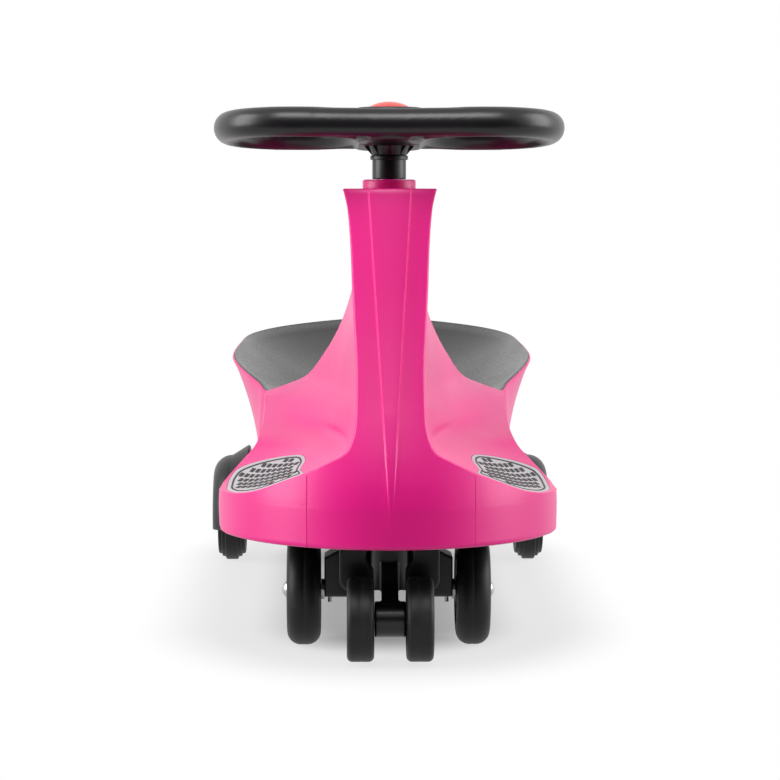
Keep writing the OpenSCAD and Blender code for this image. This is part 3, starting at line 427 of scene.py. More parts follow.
class Workpiece:
    """A mesh in the making, in millimetres."""

    def __init__(self) -> None:
        """Starts from nothing."""
        self.bm = bmesh.new()

    @classmethod
    def from_node(cls, node: str) -> "Workpiece":
        """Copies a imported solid, with its triangles merged into whole faces.

        Args:
            node: The solid's name.

        Returns:
            The copy.
        """
        made = cls()
        made.bm.from_mesh(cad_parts[node].data)
        bmesh.ops.scale(made.bm, vec=Vector((1, 1, 1)) / MM, verts=made.bm.verts)
        bmesh.ops.remove_doubles(made.bm, verts=made.bm.verts, dist=MERGE)
        bmesh.ops.dissolve_limit(
            made.bm, angle_limit=math.radians(FLAT_DEG), verts=made.bm.verts, edges=made.bm.edges)
        return made

    @classmethod
    def turned(cls, profile: Profile, centre: Sequence[float], axis: str, steps: int = 96) -> "Workpiece":
        """Spins a profile into a closed turned part.

        Args:
            profile: Radius and place along the axis, point by point.
            centre: A point on the axis.
            axis: "X" or "Z".
            steps: Facets round the part.

        Returns:
            The part.
        """
        made = cls()
        middle = Vector(centre)
        along, out = Vector((1, 0, 0)), Vector((0, 0, 1))
        if axis == "Z":
            along, out = out, along
        verts = [made.bm.verts.new(middle + out * r + along * a) for r, a in profile]
        edges = [made.bm.edges.new(pair) for pair in zip(verts, verts[1:])]
        bmesh.ops.spin(
            made.bm, geom=verts + edges, cent=middle, axis=along, dvec=(0, 0, 0),
            angle=math.tau, steps=steps, use_merge=True, use_duplicate=False,
        )
        return made.close()

    @classmethod
    def loft(cls, rings: Sequence[Row], low: Sequence[float], high: Sequence[float]) -> "Workpiece":
        """Skins rings between two poles into a closed form.

        Args:
            rings: The rings in order.
            low: The point before the first ring.
            high: The point after the last ring.

        Returns:
            The form.
        """
        made, count = cls(), len(rings[0])
        made.skin([[Vector(low)] * count, *rings, [Vector(high)] * count])
        return made.close()

    def skin(self, rows: Sequence[Row]) -> None:
        """Stretches a grid over rows of points.

        Args:
            rows: Closed rows with the same number of points.
        """
        across, along = len(rows[0]), len(rows) - 1
        grid = bmesh.ops.create_grid(self.bm, x_segments=across, y_segments=along, size=1.0)["verts"]
        for vert in grid:
            i = round((vert.co.x + 1) / 2 * across)
            j = round((vert.co.y + 1) / 2 * along)
            vert.co = rows[j][i % across]

    def slab(self, outline: Sequence[Sequence[float]], lift: Sequence[float]) -> "Workpiece":
        """Extrudes a flat outline.

        Args:
            outline: Corners of the outline in order.
            lift: The extrusion, from the outline to its far face.

        Returns:
            This workpiece.
        """
        verts = [self.bm.verts.new(p) for p in outline]
        face = self.bm.faces.new(verts)
        grown = bmesh.ops.extrude_face_region(self.bm, geom=[face], use_keep_orig=True)["geom"]
        top = [g for g in grown if isinstance(g, bmesh.types.BMVert)]
        bmesh.ops.translate(self.bm, vec=Vector(lift), verts=top)
        return self

    def rod(self, radius: float, start: Sequence[float], end: Sequence[float], facets: int) -> "Workpiece":
        """Adds a round bar between two points.

        Args:
            radius: Its radius.
            start: Middle of the first end.
            end: Middle of the last end.
            facets: Facets round the bar.

        Returns:
            This workpiece.
        """
        a, b = Vector(start), Vector(end)
        way = b - a
        turned = way.to_track_quat("Z", "Y").to_matrix().to_4x4()
        bmesh.ops.create_cone(
            self.bm, cap_ends=True, segments=facets, radius1=radius, radius2=radius, depth=way.length,
            matrix=Matrix.Translation((a + b) / 2) @ turned,
        )
        return self

    def block(self, low: Sequence[float], high: Sequence[float], place: Optional[Matrix] = None) -> "Workpiece":
        """Adds a box between two corners.

        Args:
            low: Lowest corner.
            high: Highest corner.
            place: Turns and moves the box afterwards.

        Returns:
            This workpiece.
        """
        a, b = Vector(low), Vector(high)
        size = Matrix.Diagonal((*(b - a), 1))
        box = bmesh.ops.create_cube(self.bm, size=1.0, matrix=Matrix.Translation((a + b) / 2) @ size)["verts"]
        if place is not None:
            bmesh.ops.transform(self.bm, matrix=place, verts=box)
        return self

    def close(self) -> "Workpiece":
        """Merges seams and poles, fills open ends and points the faces outwards.

        Returns:
            This workpiece.
        """
        bmesh.ops.remove_doubles(self.bm, verts=self.bm.verts, dist=MERGE)
        bmesh.ops.dissolve_degenerate(self.bm, edges=self.bm.edges, dist=0.001)
        open_edges = [e for e in self.bm.edges if e.is_boundary]
        if open_edges:
            bmesh.ops.holes_fill(self.bm, edges=open_edges, sides=0)
        bmesh.ops.recalc_face_normals(self.bm, faces=self.bm.faces)
        return self

    def round_edges(self, width: float, segments: int = 2, over_deg: float = 40,
                    where: Optional[Callable[[Vector], bool]] = None) -> "Workpiece":
        """Rounds the sharp edges.

        Args:
            width: Width of the round.
            segments: Facets across it.
            over_deg: Edges that fold by more than this are sharp.
            where: Picks edges by their middle point.

        Returns:
            This workpiece.
        """
        sharp = [
            e for e in self.bm.edges
            if len(e.link_faces) == 2 and e.calc_face_angle(0) > math.radians(over_deg)
            and (where is None or where((e.verts[0].co + e.verts[1].co) / 2))
        ]
        bmesh.ops.bevel(
            self.bm, geom=sharp, offset=width, offset_type="OFFSET", affect="EDGES",
            segments=segments, profile=0.5, material=-1, clamp_overlap=True,
        )
        return self

    def mirror(self) -> "Workpiece":
        """Turns a right-hand piece into a left-hand one, and returns it."""
        bmesh.ops.scale(self.bm, vec=(-1, 1, 1), verts=self.bm.verts)
        bmesh.ops.reverse_faces(self.bm, faces=self.bm.faces)
        return self

    def loose(self, name: str) -> Object:
        """Puts a copy of the mesh into an object of the scene.

        Args:
            name: The object's name.

        Returns:
            The object.
        """
        mesh = bpy.data.meshes.new(name)
        self.bm.to_mesh(mesh)
        holder = bpy.data.objects.new(name, mesh)
        bpy.context.scene.collection.objects.link(holder)
        return holder

    def take(self, holder: Object, *helpers: Object) -> None:
        """Takes the mesh back with its modifiers applied, and clears the objects away.

        Args:
            holder: The object that holds the mesh.
            helpers: Objects that its modifiers used.
        """
        graph = bpy.context.evaluated_depsgraph_get()
        done = bpy.data.meshes.new_from_object(holder.evaluated_get(graph), depsgraph=graph)
        self.bm.clear()
        self.bm.from_mesh(done)
        bpy.data.meshes.remove(done)
        for each in (holder, *helpers):
            mesh = each.data
            bpy.data.objects.remove(each)
            bpy.data.meshes.remove(mesh)

    def combine(self, other: "Workpiece", how: Cut) -> "Workpiece":
        """Cuts another closed workpiece away, or joins it on.

        Args:
            other: The other workpiece.
            how: Away or together.

        Returns:
            This workpiece.
        """
        holder, tool = self.loose("holder"), other.loose("tool")
        cutter = holder.modifiers.new("cut", "BOOLEAN")
        cutter.operation = how.value
        cutter.solver = "MANIFOLD"
        cutter.object = tool
        self.take(holder, tool)
        return self

    def blend(self, voxel: float, rounds: int) -> "Workpiece":
        """Melts overlapping parts into one soft-edged moulding.

        Args:
            voxel: Size of the new faces.
            rounds: Rounds of smoothing.

        Returns:
            This workpiece.
        """
        holder = self.loose("holder")
        melt = holder.modifiers.new("melt", "REMESH")
        melt.mode = "VOXEL"
        melt.voxel_size = voxel
        ease = holder.modifiers.new("ease", "SMOOTH")
        ease.factor = 0.5
        ease.iterations = rounds
        self.take(holder)
        return self

    def finish(self, name: str, finish: Finish, body: str, slot: Slot, stands_for: Sequence[str] = (),
               sharp_deg: float = 35) -> None:
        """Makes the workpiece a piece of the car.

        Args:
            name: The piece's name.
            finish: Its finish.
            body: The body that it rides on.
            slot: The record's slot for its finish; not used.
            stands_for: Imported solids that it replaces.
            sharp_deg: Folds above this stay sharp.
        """
        bmesh.ops.scale(self.bm, vec=(MM, MM, MM), verts=self.bm.verts)
        piece = self.loose(name)
        self.bm.free()
        mesh = piece.data
        mesh.shade_smooth()
        mesh.set_sharp_from_angle(angle=math.radians(sharp_deg))
        mesh.materials.append(finish.material())
        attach(piece, body)
        if stands_for:
            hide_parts(*stands_for)
        log.info("%s: %d faces on %s", name, len(mesh.polygons), body)


def dress(finish: Finish, *nodes: str) -> None:
    """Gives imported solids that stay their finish.

    Args:
        finish: The finish.
        nodes: The solids' names.
    """
    for node in nodes:
        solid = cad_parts[node]
        solid.data.materials.clear()
        solid.data.materials.append(finish.material())
        log.info("%s: keeps its solid, in %s", node, finish.name)


def arc(cx: float, cy: float, r: float, start: float, end: float, steps: int = 8) -> Profile:
    """Points of a round corner.

    Args:
        cx: First coordinate of its centre.
        cy: Second coordinate of its centre.
        r: Radius.
        start: First angle in degrees.
        end: Last angle in degrees.
        steps: Steps along it.

    Returns:
        The points.
    """
    angles = [math.radians(start + (end - start) * k / steps) for k in range(steps + 1)]
    return [(cx + r * math.cos(a), cy + r * math.sin(a)) for a in angles]


def rounded(radius: float, *angles: float) -> Profile:
    """How far points of a round edge lie in from its side, and below its top."""
    return [(radius * (1 - math.cos(a)), radius * (1 - math.sin(a))) for a in angles]


def bezier(a: Vector, c: Vector, b: Vector, steps: int) -> Row:
    """Points of a soft corner c from a to b, without the two ends."""
    shares = [k / steps for k in range(1, steps)]
    return [a * (1 - t) ** 2 + c * (2 * t * (1 - t)) + b * t * t for t in shares]


def flowing(points: Row, steps: int) -> Row:
    """A closed ring made smooth through its points.

    Args:
        points: The ring.
        steps: New points for each old one.

    Returns:
        The finer ring.
    """
    count = len(points)
    fine: Row = []
    for i in range(count):
        p0, p1 = points[i - 1], points[i]
        p2, p3 = points[(i + 1) % count], points[(i + 2) % count]
        span = (p2 - p1).length
        m1 = (p2 - p0) * (span / max((p1 - p0).length + span, 1e-6))
        m2 = (p3 - p1) * (span / max((p3 - p2).length + span, 1e-6))
        for k in range(steps):
            u = k / steps
            hold = u * u * (3 - 2 * u)
            fine.append(
                p1 * (1 - hold) + p2 * hold + m1 * (u * (1 - u) ** 2) - m2 * (u * u * (1 - u))
            )
    return fine


def toward(value: float, aim: float, distance: float) -> float:
    """Moves a value towards an aim by a distance, and by less close to it."""
    gap = aim - value
    return value + math.copysign(min(distance, abs(gap) * 0.25), gap) if gap else value


def smooth(rows: Sequence[Sequence[float]], column: int, t: float) -> float:
    """Smooth value of one column of a table.

    Args:
        rows: The table, each row led by its place.
        column: The column.
        t: The place.

    Returns:
        The value.
    """
    i = next((k for k in range(len(rows) - 2) if t <= rows[k + 1][0]), len(rows) - 2)

    def slope(k: int) -> float:
        """Slope of the column at one row."""
        a, b = max(k - 1, 0), min(k + 1, len(rows) - 1)
        return (rows[b][column] - rows[a][column]) / (rows[b][0] - rows[a][0])

    span = rows[i + 1][0] - rows[i][0]
    u = (t - rows[i][0]) / span
    hold = u * u * (3 - 2 * u)
    return (rows[i][column] * (1 - hold) + rows[i + 1][column] * hold
            + slope(i) * u * (1 - u) ** 2 * span - slope(i + 1) * u * u * (1 - u) * span)


@dataclass
class BodyShape:
    """The body's surfaces: the front with its column and foot rests, the seat pan and the dish."""

    nose_reach: float = 390
    nose_depth: float = 154
    tail_reach: float = 390
    skirt_half_w: float = 125
    base_z: float = BASE_Z
    top_z: float = TOP_Z
    axis_y: float = AXIS_Y
    spine_half_w: float = 14.5
    spine_rise: float = 2.4
    spine_end: float = 0.056
    spine_edge: float = 1.3
    spine_least: float = 0.4
    spine_ramp: float = 3
    spine_bow: float = 0.12
    seat_half_w: float = 129.5
    pan_half_w: float = 103
    seat_tail_z: float = 214
    seat_low_z: float = 152
    seat_join: float = 0.355
    seat_rim_w: float = 1.3
    seat_t: float = 3.5
    seat_fit: float = 0.2
    join_start: float = 0.343
    crease_round: float = 2.2
    waist_in: float = 10
    join_reach: float = 30
    join_inset: float = 12
    join_in: float = 2.7
    join_y: float = -22
    join_run: float = 30
    hump_round: float = 14
    hump_steps: int = 14
    across: int = 20
    bunch: float = 1.4
    dish_power: float = 2.3
    dish_passes: int = 60
    dish_soft: float = 3
    dish_share: float = 0.385
    dish_start: float = 0.02
    tail_tuck: float = 48
    tail_blunt: float = 2.4
    tail_shares: tuple[float, ...] = (0.14, 0.28, 0.42, 0.56, 0.7, 0.82, 0.92)
    pan_flare: float = 1.8
    levels: list[tuple[float, ...]] = field(default_factory=lambda: [
        (0.000, 1.000, 1.0000, 0.992, 0.526, 1.0),
        (0.109, 1.000, 0.9979, 0.992, 0.531, 1.0),
        (0.118, 0.974, 0.9973, 0.986, 0.536, 2.8),
        (0.1285, 0.864, 0.9965, 0.968, 0.520, 3.5),
        (0.145, 0.756, 0.9949, 0.936, 0.487, 4.0),
        (0.177, 0.612, 0.9911, 0.872, 0.436, 4.0),
        (0.206, 0.480, 0.9867, 0.816, 0.405, 4.0),
        (0.234, 0.368, 0.9819, 0.784, 0.372, 4.0),
        (0.262, 0.264, 0.9766, 0.768, 0.295, 3.6),
        (0.298, 0.220, 0.9691, 0.764, 0.179, 2.45),
        (0.343, 0.199, 0.9593, 0.760, 0.056, 1.94),
        (0.367, 0.196, 0.9539, 0.640, 0.072, 1.75),
        (0.391, 0.194, 0.9486, 0.536, 0.108, 1.62),
        (0.415, 0.193, 0.9434, 0.478, 0.154, 1.65),
        (0.480, 0.192, 0.9301, 0.392, 0.251, 1.7),
        (0.540, 0.195, 0.9187, 0.324, 0.328, 1.7),
        (0.609, 0.203, 0.9067, 0.264, 0.390, 1.5),
        (0.706, 0.213, 0.8920, 0.208, 0.462, 1.0),
        (0.839, 0.226, 0.8747, 0.168, 0.544, 0.7),
        (0.944, 0.248, 0.8623, 0.152, 0.600, 0.5),
        (1.000, 0.276, 0.8559, 0.148, 0.631, 0.45)])
    rim: list[tuple[float, float, float]] = field(default_factory=lambda: [
        (0.000, -0.097, 0.857), (0.247, -0.103, 0.857), (0.486, -0.108, 0.855), (0.618, -0.077, 0.827),
        (0.734, -0.051, 0.799), (0.803, 0.038, 0.822), (0.880, 0.128, 0.846), (0.958, 0.244, 0.871),
        (1.000, 0.359, 0.893), (1.000, 0.500, 0.911), (0.973, 0.641, 0.930)])
    foot: list[float] = field(default_factory=lambda: [0, 0.311, 0.612, 0.854, 1, 1, 1, 1, 1, 1, 1])
    rest: list[tuple[float, float, float]] = field(default_factory=lambda: [
        (0.000, 0.458, 0.934), (0.031, 0.544, 0.924), (0.061, 0.624, 0.905), (0.108, 0.728, 0.870),
        (0.163, 0.832, 0.820), (0.225, 0.916, 0.759), (0.294, 0.964, 0.685), (0.369, 0.974, 0.603),
        (0.436, 0.968, 0.528), (0.483, 0.924, 0.479), (0.513, 0.824, 0.473), (0.562, 0.688, 0.500),
        (0.624, 0.556, 0.551), (0.682, 0.484, 0.605), (0.758, 0.462, 0.687), (0.822, 0.476, 0.756),
        (0.882, 0.484, 0.821), (0.942, 0.466, 0.885), (1.000, 0.458, 0.934)])
    rest_middle: tuple[float, float] = (0.70, 0.68)
    rest_span: tuple[float, float] = (0.1, 0.26)
    rest_ends: float = 0.013
    rest_look: float = 0.011
    halvings: int = 18
    fine: int = 4

    @property
    def tall(self) -> float:
        """Height of the front above its lower edge."""
        return self.top_z - self.base_z

    def at(self, column: int, height: float) -> float:
        """Smooth value of one column of the levels at a share of the body's height."""
        return smooth(self.levels, column, height)

    def nose_bow(self, x: float) -> float:
        """How far the bow of the nose, a half ellipse, falls back at a place across the car."""
        return self.nose_depth * (1 - math.sqrt(max(0.0, 1 - (x / self.skirt_half_w) ** 2)))

    def front_half(self, height: float, z: float) -> Row:
        """Right half of one level of the front, from the middle of the nose to the middle of the back.

        Args:
            height: Share of the body's height.
            z: Height of the level.

        Returns:
            The points.
        """
        out = self.at(1, height) * self.skirt_half_w
        middle_y = -self.at(2, height) * self.nose_reach
        crease_y = middle_y + self.nose_bow(out)
        side_x = self.at(3, height) * self.skirt_half_w
        side_y = -self.at(4, height) * self.nose_reach
        flare = self.at(5, height)
        fade = max(0.0, (height - self.spine_end) / (1 - self.spine_end))
        spine = max(self.spine_least, self.spine_half_w * fade) / out
        rise = self.spine_rise * min(1.0, fade * self.spine_ramp)
        edge = self.spine_edge / out

        def panel(f: float) -> Vector:
            """Point of the front panel at a share of its width."""
            u = min(1.0, f / spine)
            fall = min(1.0, max(0.0, (f - spine) / edge))
            proud = (1 - self.spine_bow * u * u) * (1 - fall * fall * (3 - 2 * fall))
            return Vector((f * out, middle_y + self.nose_bow(f * out) - rise * proud, z))

        def flank(s: float) -> Vector:
            """Point of the flank at a share of its length."""
            return Vector((out + (side_x - out) * s ** flare, crease_y + (side_y - crease_y) * s, z))

        length = math.hypot(side_x - out, side_y - crease_y)
        before = 1 - self.crease_round / out
        after = self.crease_round / length
        start = spine + edge
        rib = [panel(spine * k / 7) for k in range(8)] + [panel(spine + edge * k / 3) for k in (1, 2)]
        n = self.across
        wide = [panel(start + (before - start) * math.sin(QUARTER * k / n)) for k in range(n + 1)]
        corner = bezier(wide[-1], panel(1.0), flank(after), 6)
        run = [flank(after + (1 - after) * (k / n) ** self.bunch) for k in range(n + 1)]
        return rib + wide + corner + run + self.back_half(height, z, side_x, side_y)

    def back_half(self, height: float, z: float, side_x: float, side_y: float) -> Row:
        """The rest of one level of the front: into the seat pan below, round the hump above.

        Args:
            height: Share of the body's height.
            z: Height of the level.
            side_x: Outward place of the shoulder.
            side_y: Lengthwise place of the shoulder.

        Returns:
            The points after the shoulder.
        """
        if height >= self.seat_join:
            angles = [QUARTER * k / self.hump_steps for k in range(1, self.hump_steps + 1)]
            return [Vector((side_x * math.cos(a), side_y + self.hump_round * math.sin(a), z)) for a in angles]
        up = height / self.seat_join
        start = Vector((side_x, side_y, z))
        join = Vector((self.pan_half_w - self.join_in * up, self.join_run * up + self.join_y, z))
        waist = (start + join) / 2 - Vector((self.waist_in * (1 - up), 0, 0))
        pull = waist * 2 - (start + join) / 2
        return bezier(start, pull, join, 12) + [
            join, Vector((join.x - self.join_inset, self.join_reach, z)), Vector((0, self.join_reach, z))
        ]

    @staticmethod
    def whole(half: Row) -> Row:
        """Mirrors a right half into a ring."""
        return half + [Vector((-p.x, p.y, p.z)) for p in half[-2:0:-1]]

    def front_ring(self, height: float, z: float, inset: float = 0) -> Row:
        """Ring of the front at a share of its height, set at z and drawn in by an inset."""
        return [
            Vector((toward(p.x, 0, inset), toward(p.y, self.axis_y, inset), p.z))
            for p in self.whole(self.front_half(height, z))
        ]

    def rest_z(self, x: float, y: float) -> float:
        """Height of the right foot rest below a point, found by halving.

        Args:
            x: Place across the car.
            y: Place along the car.

        Returns:
            The height.
        """
        low, high = self.rest_span
        for _ in range(self.halvings):
            h = (low + high) / 2
            out, side_x = self.at(1, h) * self.skirt_half_w, self.at(3, h) * self.skirt_half_w
            crease_y = self.nose_bow(out) - self.at(2, h) * self.nose_reach
            side_y = -self.at(4, h) * self.nose_reach
            along = max(0.0, (y - crease_y) / (side_y - crease_y))
            if out + (side_x - out) * along ** self.at(5, h) > x:
                low = h
            else:
                high = h
        return self.base_z + self.tall * (low + high) / 2

    def rest_edge(self, inset: float, steps: int) -> Profile:
        """Edge of the right foot rest seen from above.

        Args:
            inset: How far it is drawn in.
            steps: Points round it.

        Returns:
            The points.
        """
        def point(t: float) -> Vector:
            """Point of the edge itself."""
            x, y = smooth(self.rest, 1, t), smooth(self.rest, 2, t)
            return Vector((x * self.skirt_half_w, -y * self.nose_reach))

        edge: Profile = []
        for k in range(steps):
            t = self.rest_ends + (1 - 2 * self.rest_ends) * (k + 0.5) / steps
            way = point(t + self.rest_look) - point(t - self.rest_look)
            at = point(t) + Vector((-way.y, way.x)).normalized() * inset
            edge.append((at.x, at.y))
        return edge

    def tail_half(self, start: Vector, end: Vector) -> Row:
        """Right half of a blunt round tail.

        Args:
            start: Where it leaves the side.
            end: Its last point, in the middle of the car.

        Returns:
            The points after the start.
        """
        way, bend = end - start, 2 / self.tail_blunt
        turns = [(s, QUARTER * s) for s in self.tail_shares]
        return [
            Vector((start.x * math.cos(a) ** bend, start.y + way.y * math.sin(a) ** bend, start.z + way.z * s))
            for s, a in turns
        ] + [end]

    def rim_ring(self) -> Row:
        """The seat rim, as a smooth ring."""
        size = Vector((self.seat_half_w, self.tail_reach, self.seat_tail_z))
        half = [Vector(r) * size for r in self.rim]
        half += self.tail_half(half[-1], Vector((0, self.tail_reach, self.seat_tail_z)))
        return flowing(self.whole(half), self.fine)

    def foot_ring(self) -> Row:
        """The underside's edge, as a smooth ring with one point below each point of the rim."""
        half = [
            Vector((w * self.pan_half_w, r[1] * self.tail_reach, self.base_z)) for w, r in zip(self.foot, self.rim)
        ]
        half += self.tail_half(half[-1], Vector((0, self.tail_reach - self.tail_tuck, self.base_z)))
        return flowing(self.whole(half), self.fine)

    @property
    def dish_y(self) -> float:
        """Lengthwise place of the bottom of the dish."""
        return self.dish_share * self.tail_reach

    def pan_ring(self, share: float, inset: float = 0, drop: float = 0) -> Row:
        """One ring of the seat pan.

        Args:
            share: 0 at the underside, 1 at the rim.
            inset: How far it is drawn in.
            drop: How far it is lowered.

        Returns:
            The ring.
        """
        return [
            Vector((toward(a.x + (b.x - a.x) * share ** self.pan_flare, 0, inset),
                    toward(a.y + (b.y - a.y) * share, self.dish_y, inset),
                    a.z + (b.z - a.z) * share - drop))
            for a, b in zip(self.foot_ring(), self.rim_ring())
        ]

    def dish_rings(self, count: int, inset: float, drop: float) -> list[Row]:
        """Rings from near the bottom of the dish to its rim, drawn in by an inset and lowered by a drop."""
        start = self.dish_start
        return [self.dish_ring(start + (1 - start) * k / count, inset, drop) for k in range(count + 1)]

    def dish_ring(self, share: float, inset: float, drop: float) -> Row:
        """One ring of the dish.

        Args:
            share: 0 at its bottom, 1 at the rim.
            inset: How far the rim is drawn in.
            drop: How far the ring is lowered.

        Returns:
            The ring.
        """
        soft = edge = self.rim_ring()
        for _ in range(self.dish_passes):
            before, after = soft[-1:] + soft[:-1], soft[1:] + soft[:1]
            soft = [(a + b * 2 + c) / 4 for a, b, c in zip(before, soft, after)]
        part = min(1.0, (1 - share) * self.dish_soft)
        return [
            Vector((toward(p.x, 0, inset) * share,
                    self.dish_y + (toward(p.y, self.dish_y, inset) - self.dish_y) * share,
                    self.seat_low_z + (p.z - self.seat_low_z) * share ** self.dish_power - drop))
            for p in (a.lerp(b, part) for a, b in zip(edge, soft))
        ]


PINK = MouldedPlastic("body_pink", (228, 18, 131), 0.36, tint=(222, 15, 126), rubbed=0.25, specular=0.45)
SEAT = GrainedPlastic("seat_grey", (38, 34, 35), 0.21, tint=(32, 29, 30), depth=0.00004, specular=0.4)
FENDER = MouldedPlastic("fender_grey", (29, 30, 32), 0.4, tint=(26, 27, 29), grain=1300, specular=0.4)
BLACK = MouldedPlastic("black_plastic", (24, 21, 24), 0.32, tint=(20, 18, 20), grain=1500,
                       grain_depth=0.00003, specular=0.4)
GLOSS_BLACK = MouldedPlastic("bracket_black", (20, 20, 22), 0.3, tint=(16, 16, 18), grain=1300, specular=0.4)
RED = MouldedPlastic("cap_red", (214, 50, 42), 0.3, tint=(206, 45, 38), coat=0.2)
STEEL = PlatedMetal("steel", (186, 189, 193), 0.3)
SILVER = PlatedMetal("plate_silver", (190, 190, 193), 0.5, stretch=(900, 60, 900), metallic=0.3)
NYLON = MouldedPlastic("nylon", (232, 230, 222), 0.45, tint=(226, 222, 212))
TYRE = TyreRubber("tyre_black", (19, 19, 21), 0.5)
HUB = MouldedPlastic("hub_black", (28, 29, 31), 0.45, tint=(24, 25, 27), grain=1200, specular=0.4)
STUD = GrainedPlastic("stud_black", (26, 26, 27), 0.55, tint=(21, 21, 22), cell=1100, depth=0.00006)


@dataclass
class Body:
    """The moulded body with its seat opening, foot recesses and belly recess."""

    shape: BodyShape
    wall: float = 3
    edge: float = 1.8
    top_edge: float = 1.2
    lip: float = 1.5
    lip_in: float = 9
    lip_fall: float = 20
    belly_t: float = 4
    belly_fit: float = 0.2
    line_x: float = 58.6
    line_w: float = 0.6
    line_deep: float = 0.35
    line_top: float = 0.2
    clear: float = 5
    steps: int = 7
    pan_start: float = 0.03
    pan_span: float = 0.94
    pan_steps: int = 24
    dish_steps: int = 20

    def front(self) -> Workpiece:
        """The front with its column, as a closed form.

        Returns:
            The form.
        """
        shape = self.shape
        heights = [
            a[0] + (b[0] - a[0]) * k / self.steps
            for a, b in zip(shape.levels, shape.levels[1:]) for k in range(self.steps)
        ]
        heights = [h for h in heights if h > 0 and not shape.join_start < h < shape.seat_join]
        rings = [
            shape.front_ring(0, shape.base_z + up, inset)
            for up, inset in rounded(self.edge, 0, 0.5, 1.0, QUARTER)
        ]
        rings += [shape.front_ring(h, shape.base_z + shape.tall * h) for h in heights]
        rings += [
            shape.front_ring(1, shape.top_z - fall, inset)
            for inset, fall in rounded(self.top_edge, 0, 0.55, 1.05, QUARTER)
        ]
        return Workpiece.loft(rings, (0, shape.axis_y, shape.base_z), (0, shape.axis_y, shape.top_z))

    def seat_pan(self) -> Workpiece:
        """The seat pan below the rim, as a closed form.

        Returns:
            The form.
        """
        shape = self.shape
        rings = [
            shape.pan_ring(up / shape.tall, inset) for up, inset in rounded(self.edge, 0, 0.5, 1.0, QUARTER)
        ]
        steps = self.pan_steps
        rings += [shape.pan_ring(self.pan_start + self.pan_span * k / steps) for k in range(steps)]
        rings += [shape.pan_ring(1, *turn) for turn in rounded(self.lip, 0, 0.4, 0.8, 1.2, QUARTER)]
        rings.append(shape.pan_ring(1, self.lip_in))
        high = shape.seat_tail_z - self.lip_fall
        return Workpiece.loft(rings, (0, shape.dish_y, shape.base_z), (0, shape.dish_y, high))

    def seat_room(self) -> Workpiece:
        """Everything above the seat panel's bed.

        Returns:
            The form that is cut away.
        """
        shape = self.shape
        drop = shape.seat_t + shape.seat_fit
        rings = shape.dish_rings(self.dish_steps, shape.seat_rim_w, drop)
        rings.append([Vector((p.x, p.y, shape.top_z)) for p in rings[-1]])
        return Workpiece.loft(rings, (0, shape.dish_y, shape.seat_low_z - drop), (0, shape.dish_y, shape.top_z))

    def belly_room(self, ring: Row) -> Workpiece:
        """The recess within a ring, in which half of the belly pan lies."""
        low = [Vector((p.x, p.y, self.shape.base_z - 1)) for p in ring]
        return Workpiece().slab(low, (0, 0, self.belly_t + 1 + self.belly_fit)).close()

    def mould_line(self, side: Side) -> Workpiece:
        """The fine line that the mould leaves down the skirt.

        Args:
            side: The side of the car.

        Returns:
            The form that is cut away.
        """
        shape = self.shape
        x = side.sign * self.line_x
        bow = shape.nose_bow(self.line_x) + self.line_deep
        wall = [
            (x, bow - shape.at(2, h) * shape.nose_reach, shape.base_z + shape.tall * h)
            for h in (self.line_top * k / 8 for k in range(9))
        ]
        low, out = shape.base_z - self.clear, -shape.nose_reach - self.clear
        outline = [(x, wall[0][1], low), *wall, (x, out, wall[-1][2]), (x, out, low)]
        return Workpiece().slab(outline, (self.line_w, 0, 0)).close()

    def build(self) -> None:
        """Builds the body and puts it in place of its solid."""
        made = self.front().combine(self.seat_pan(), Cut.TOGETHER)
        made.combine(self.seat_room(), Cut.AWAY)
        for side in Side:
            made.combine(FootRest(side, self.shape).room(), Cut.AWAY)
            made.combine(self.mould_line(side), Cut.AWAY)
        shape = self.shape
        made.combine(self.belly_room(shape.front_ring(0, 0, self.wall)), Cut.AWAY)
        made.combine(self.belly_room(shape.pan_ring(0, self.wall)), Cut.AWAY)
        made.finish("car_body", PINK, "chassis", Slot.BODY, ["body_shell"], 32)


@dataclass
class Seat:
    """The dished seat panel."""

    shape: BodyShape
    proud: float = 1
    edge: float = 1.2
    steps: int = 24
    top_span: float = 0.96

    def build(self) -> None:
        """Builds the panel with a softly rounded edge."""
        shape = self.shape
        inset = shape.seat_rim_w + shape.seat_fit
        rings = shape.dish_rings(self.steps, inset, shape.seat_t)
        rings += [
            shape.dish_ring(1, inset + back, fall - self.proud)
            for back, fall in rounded(self.edge, 0, 0.4, 0.8, 1.2, QUARTER)
        ]
        rings += [
            shape.dish_ring(shape.dish_start + self.top_span * k / self.steps, inset, -self.proud)
            for k in range(self.steps - 1, -1, -1)
        ]
        low, high = shape.seat_low_z - shape.seat_t, shape.seat_low_z + self.proud
        made = Workpiece.loft(rings, (0, shape.dish_y, low), (0, shape.dish_y, high))
        made.finish("seat_panel_grained", SEAT, "chassis", Slot.SEAT, ["seat_panel"], 50)


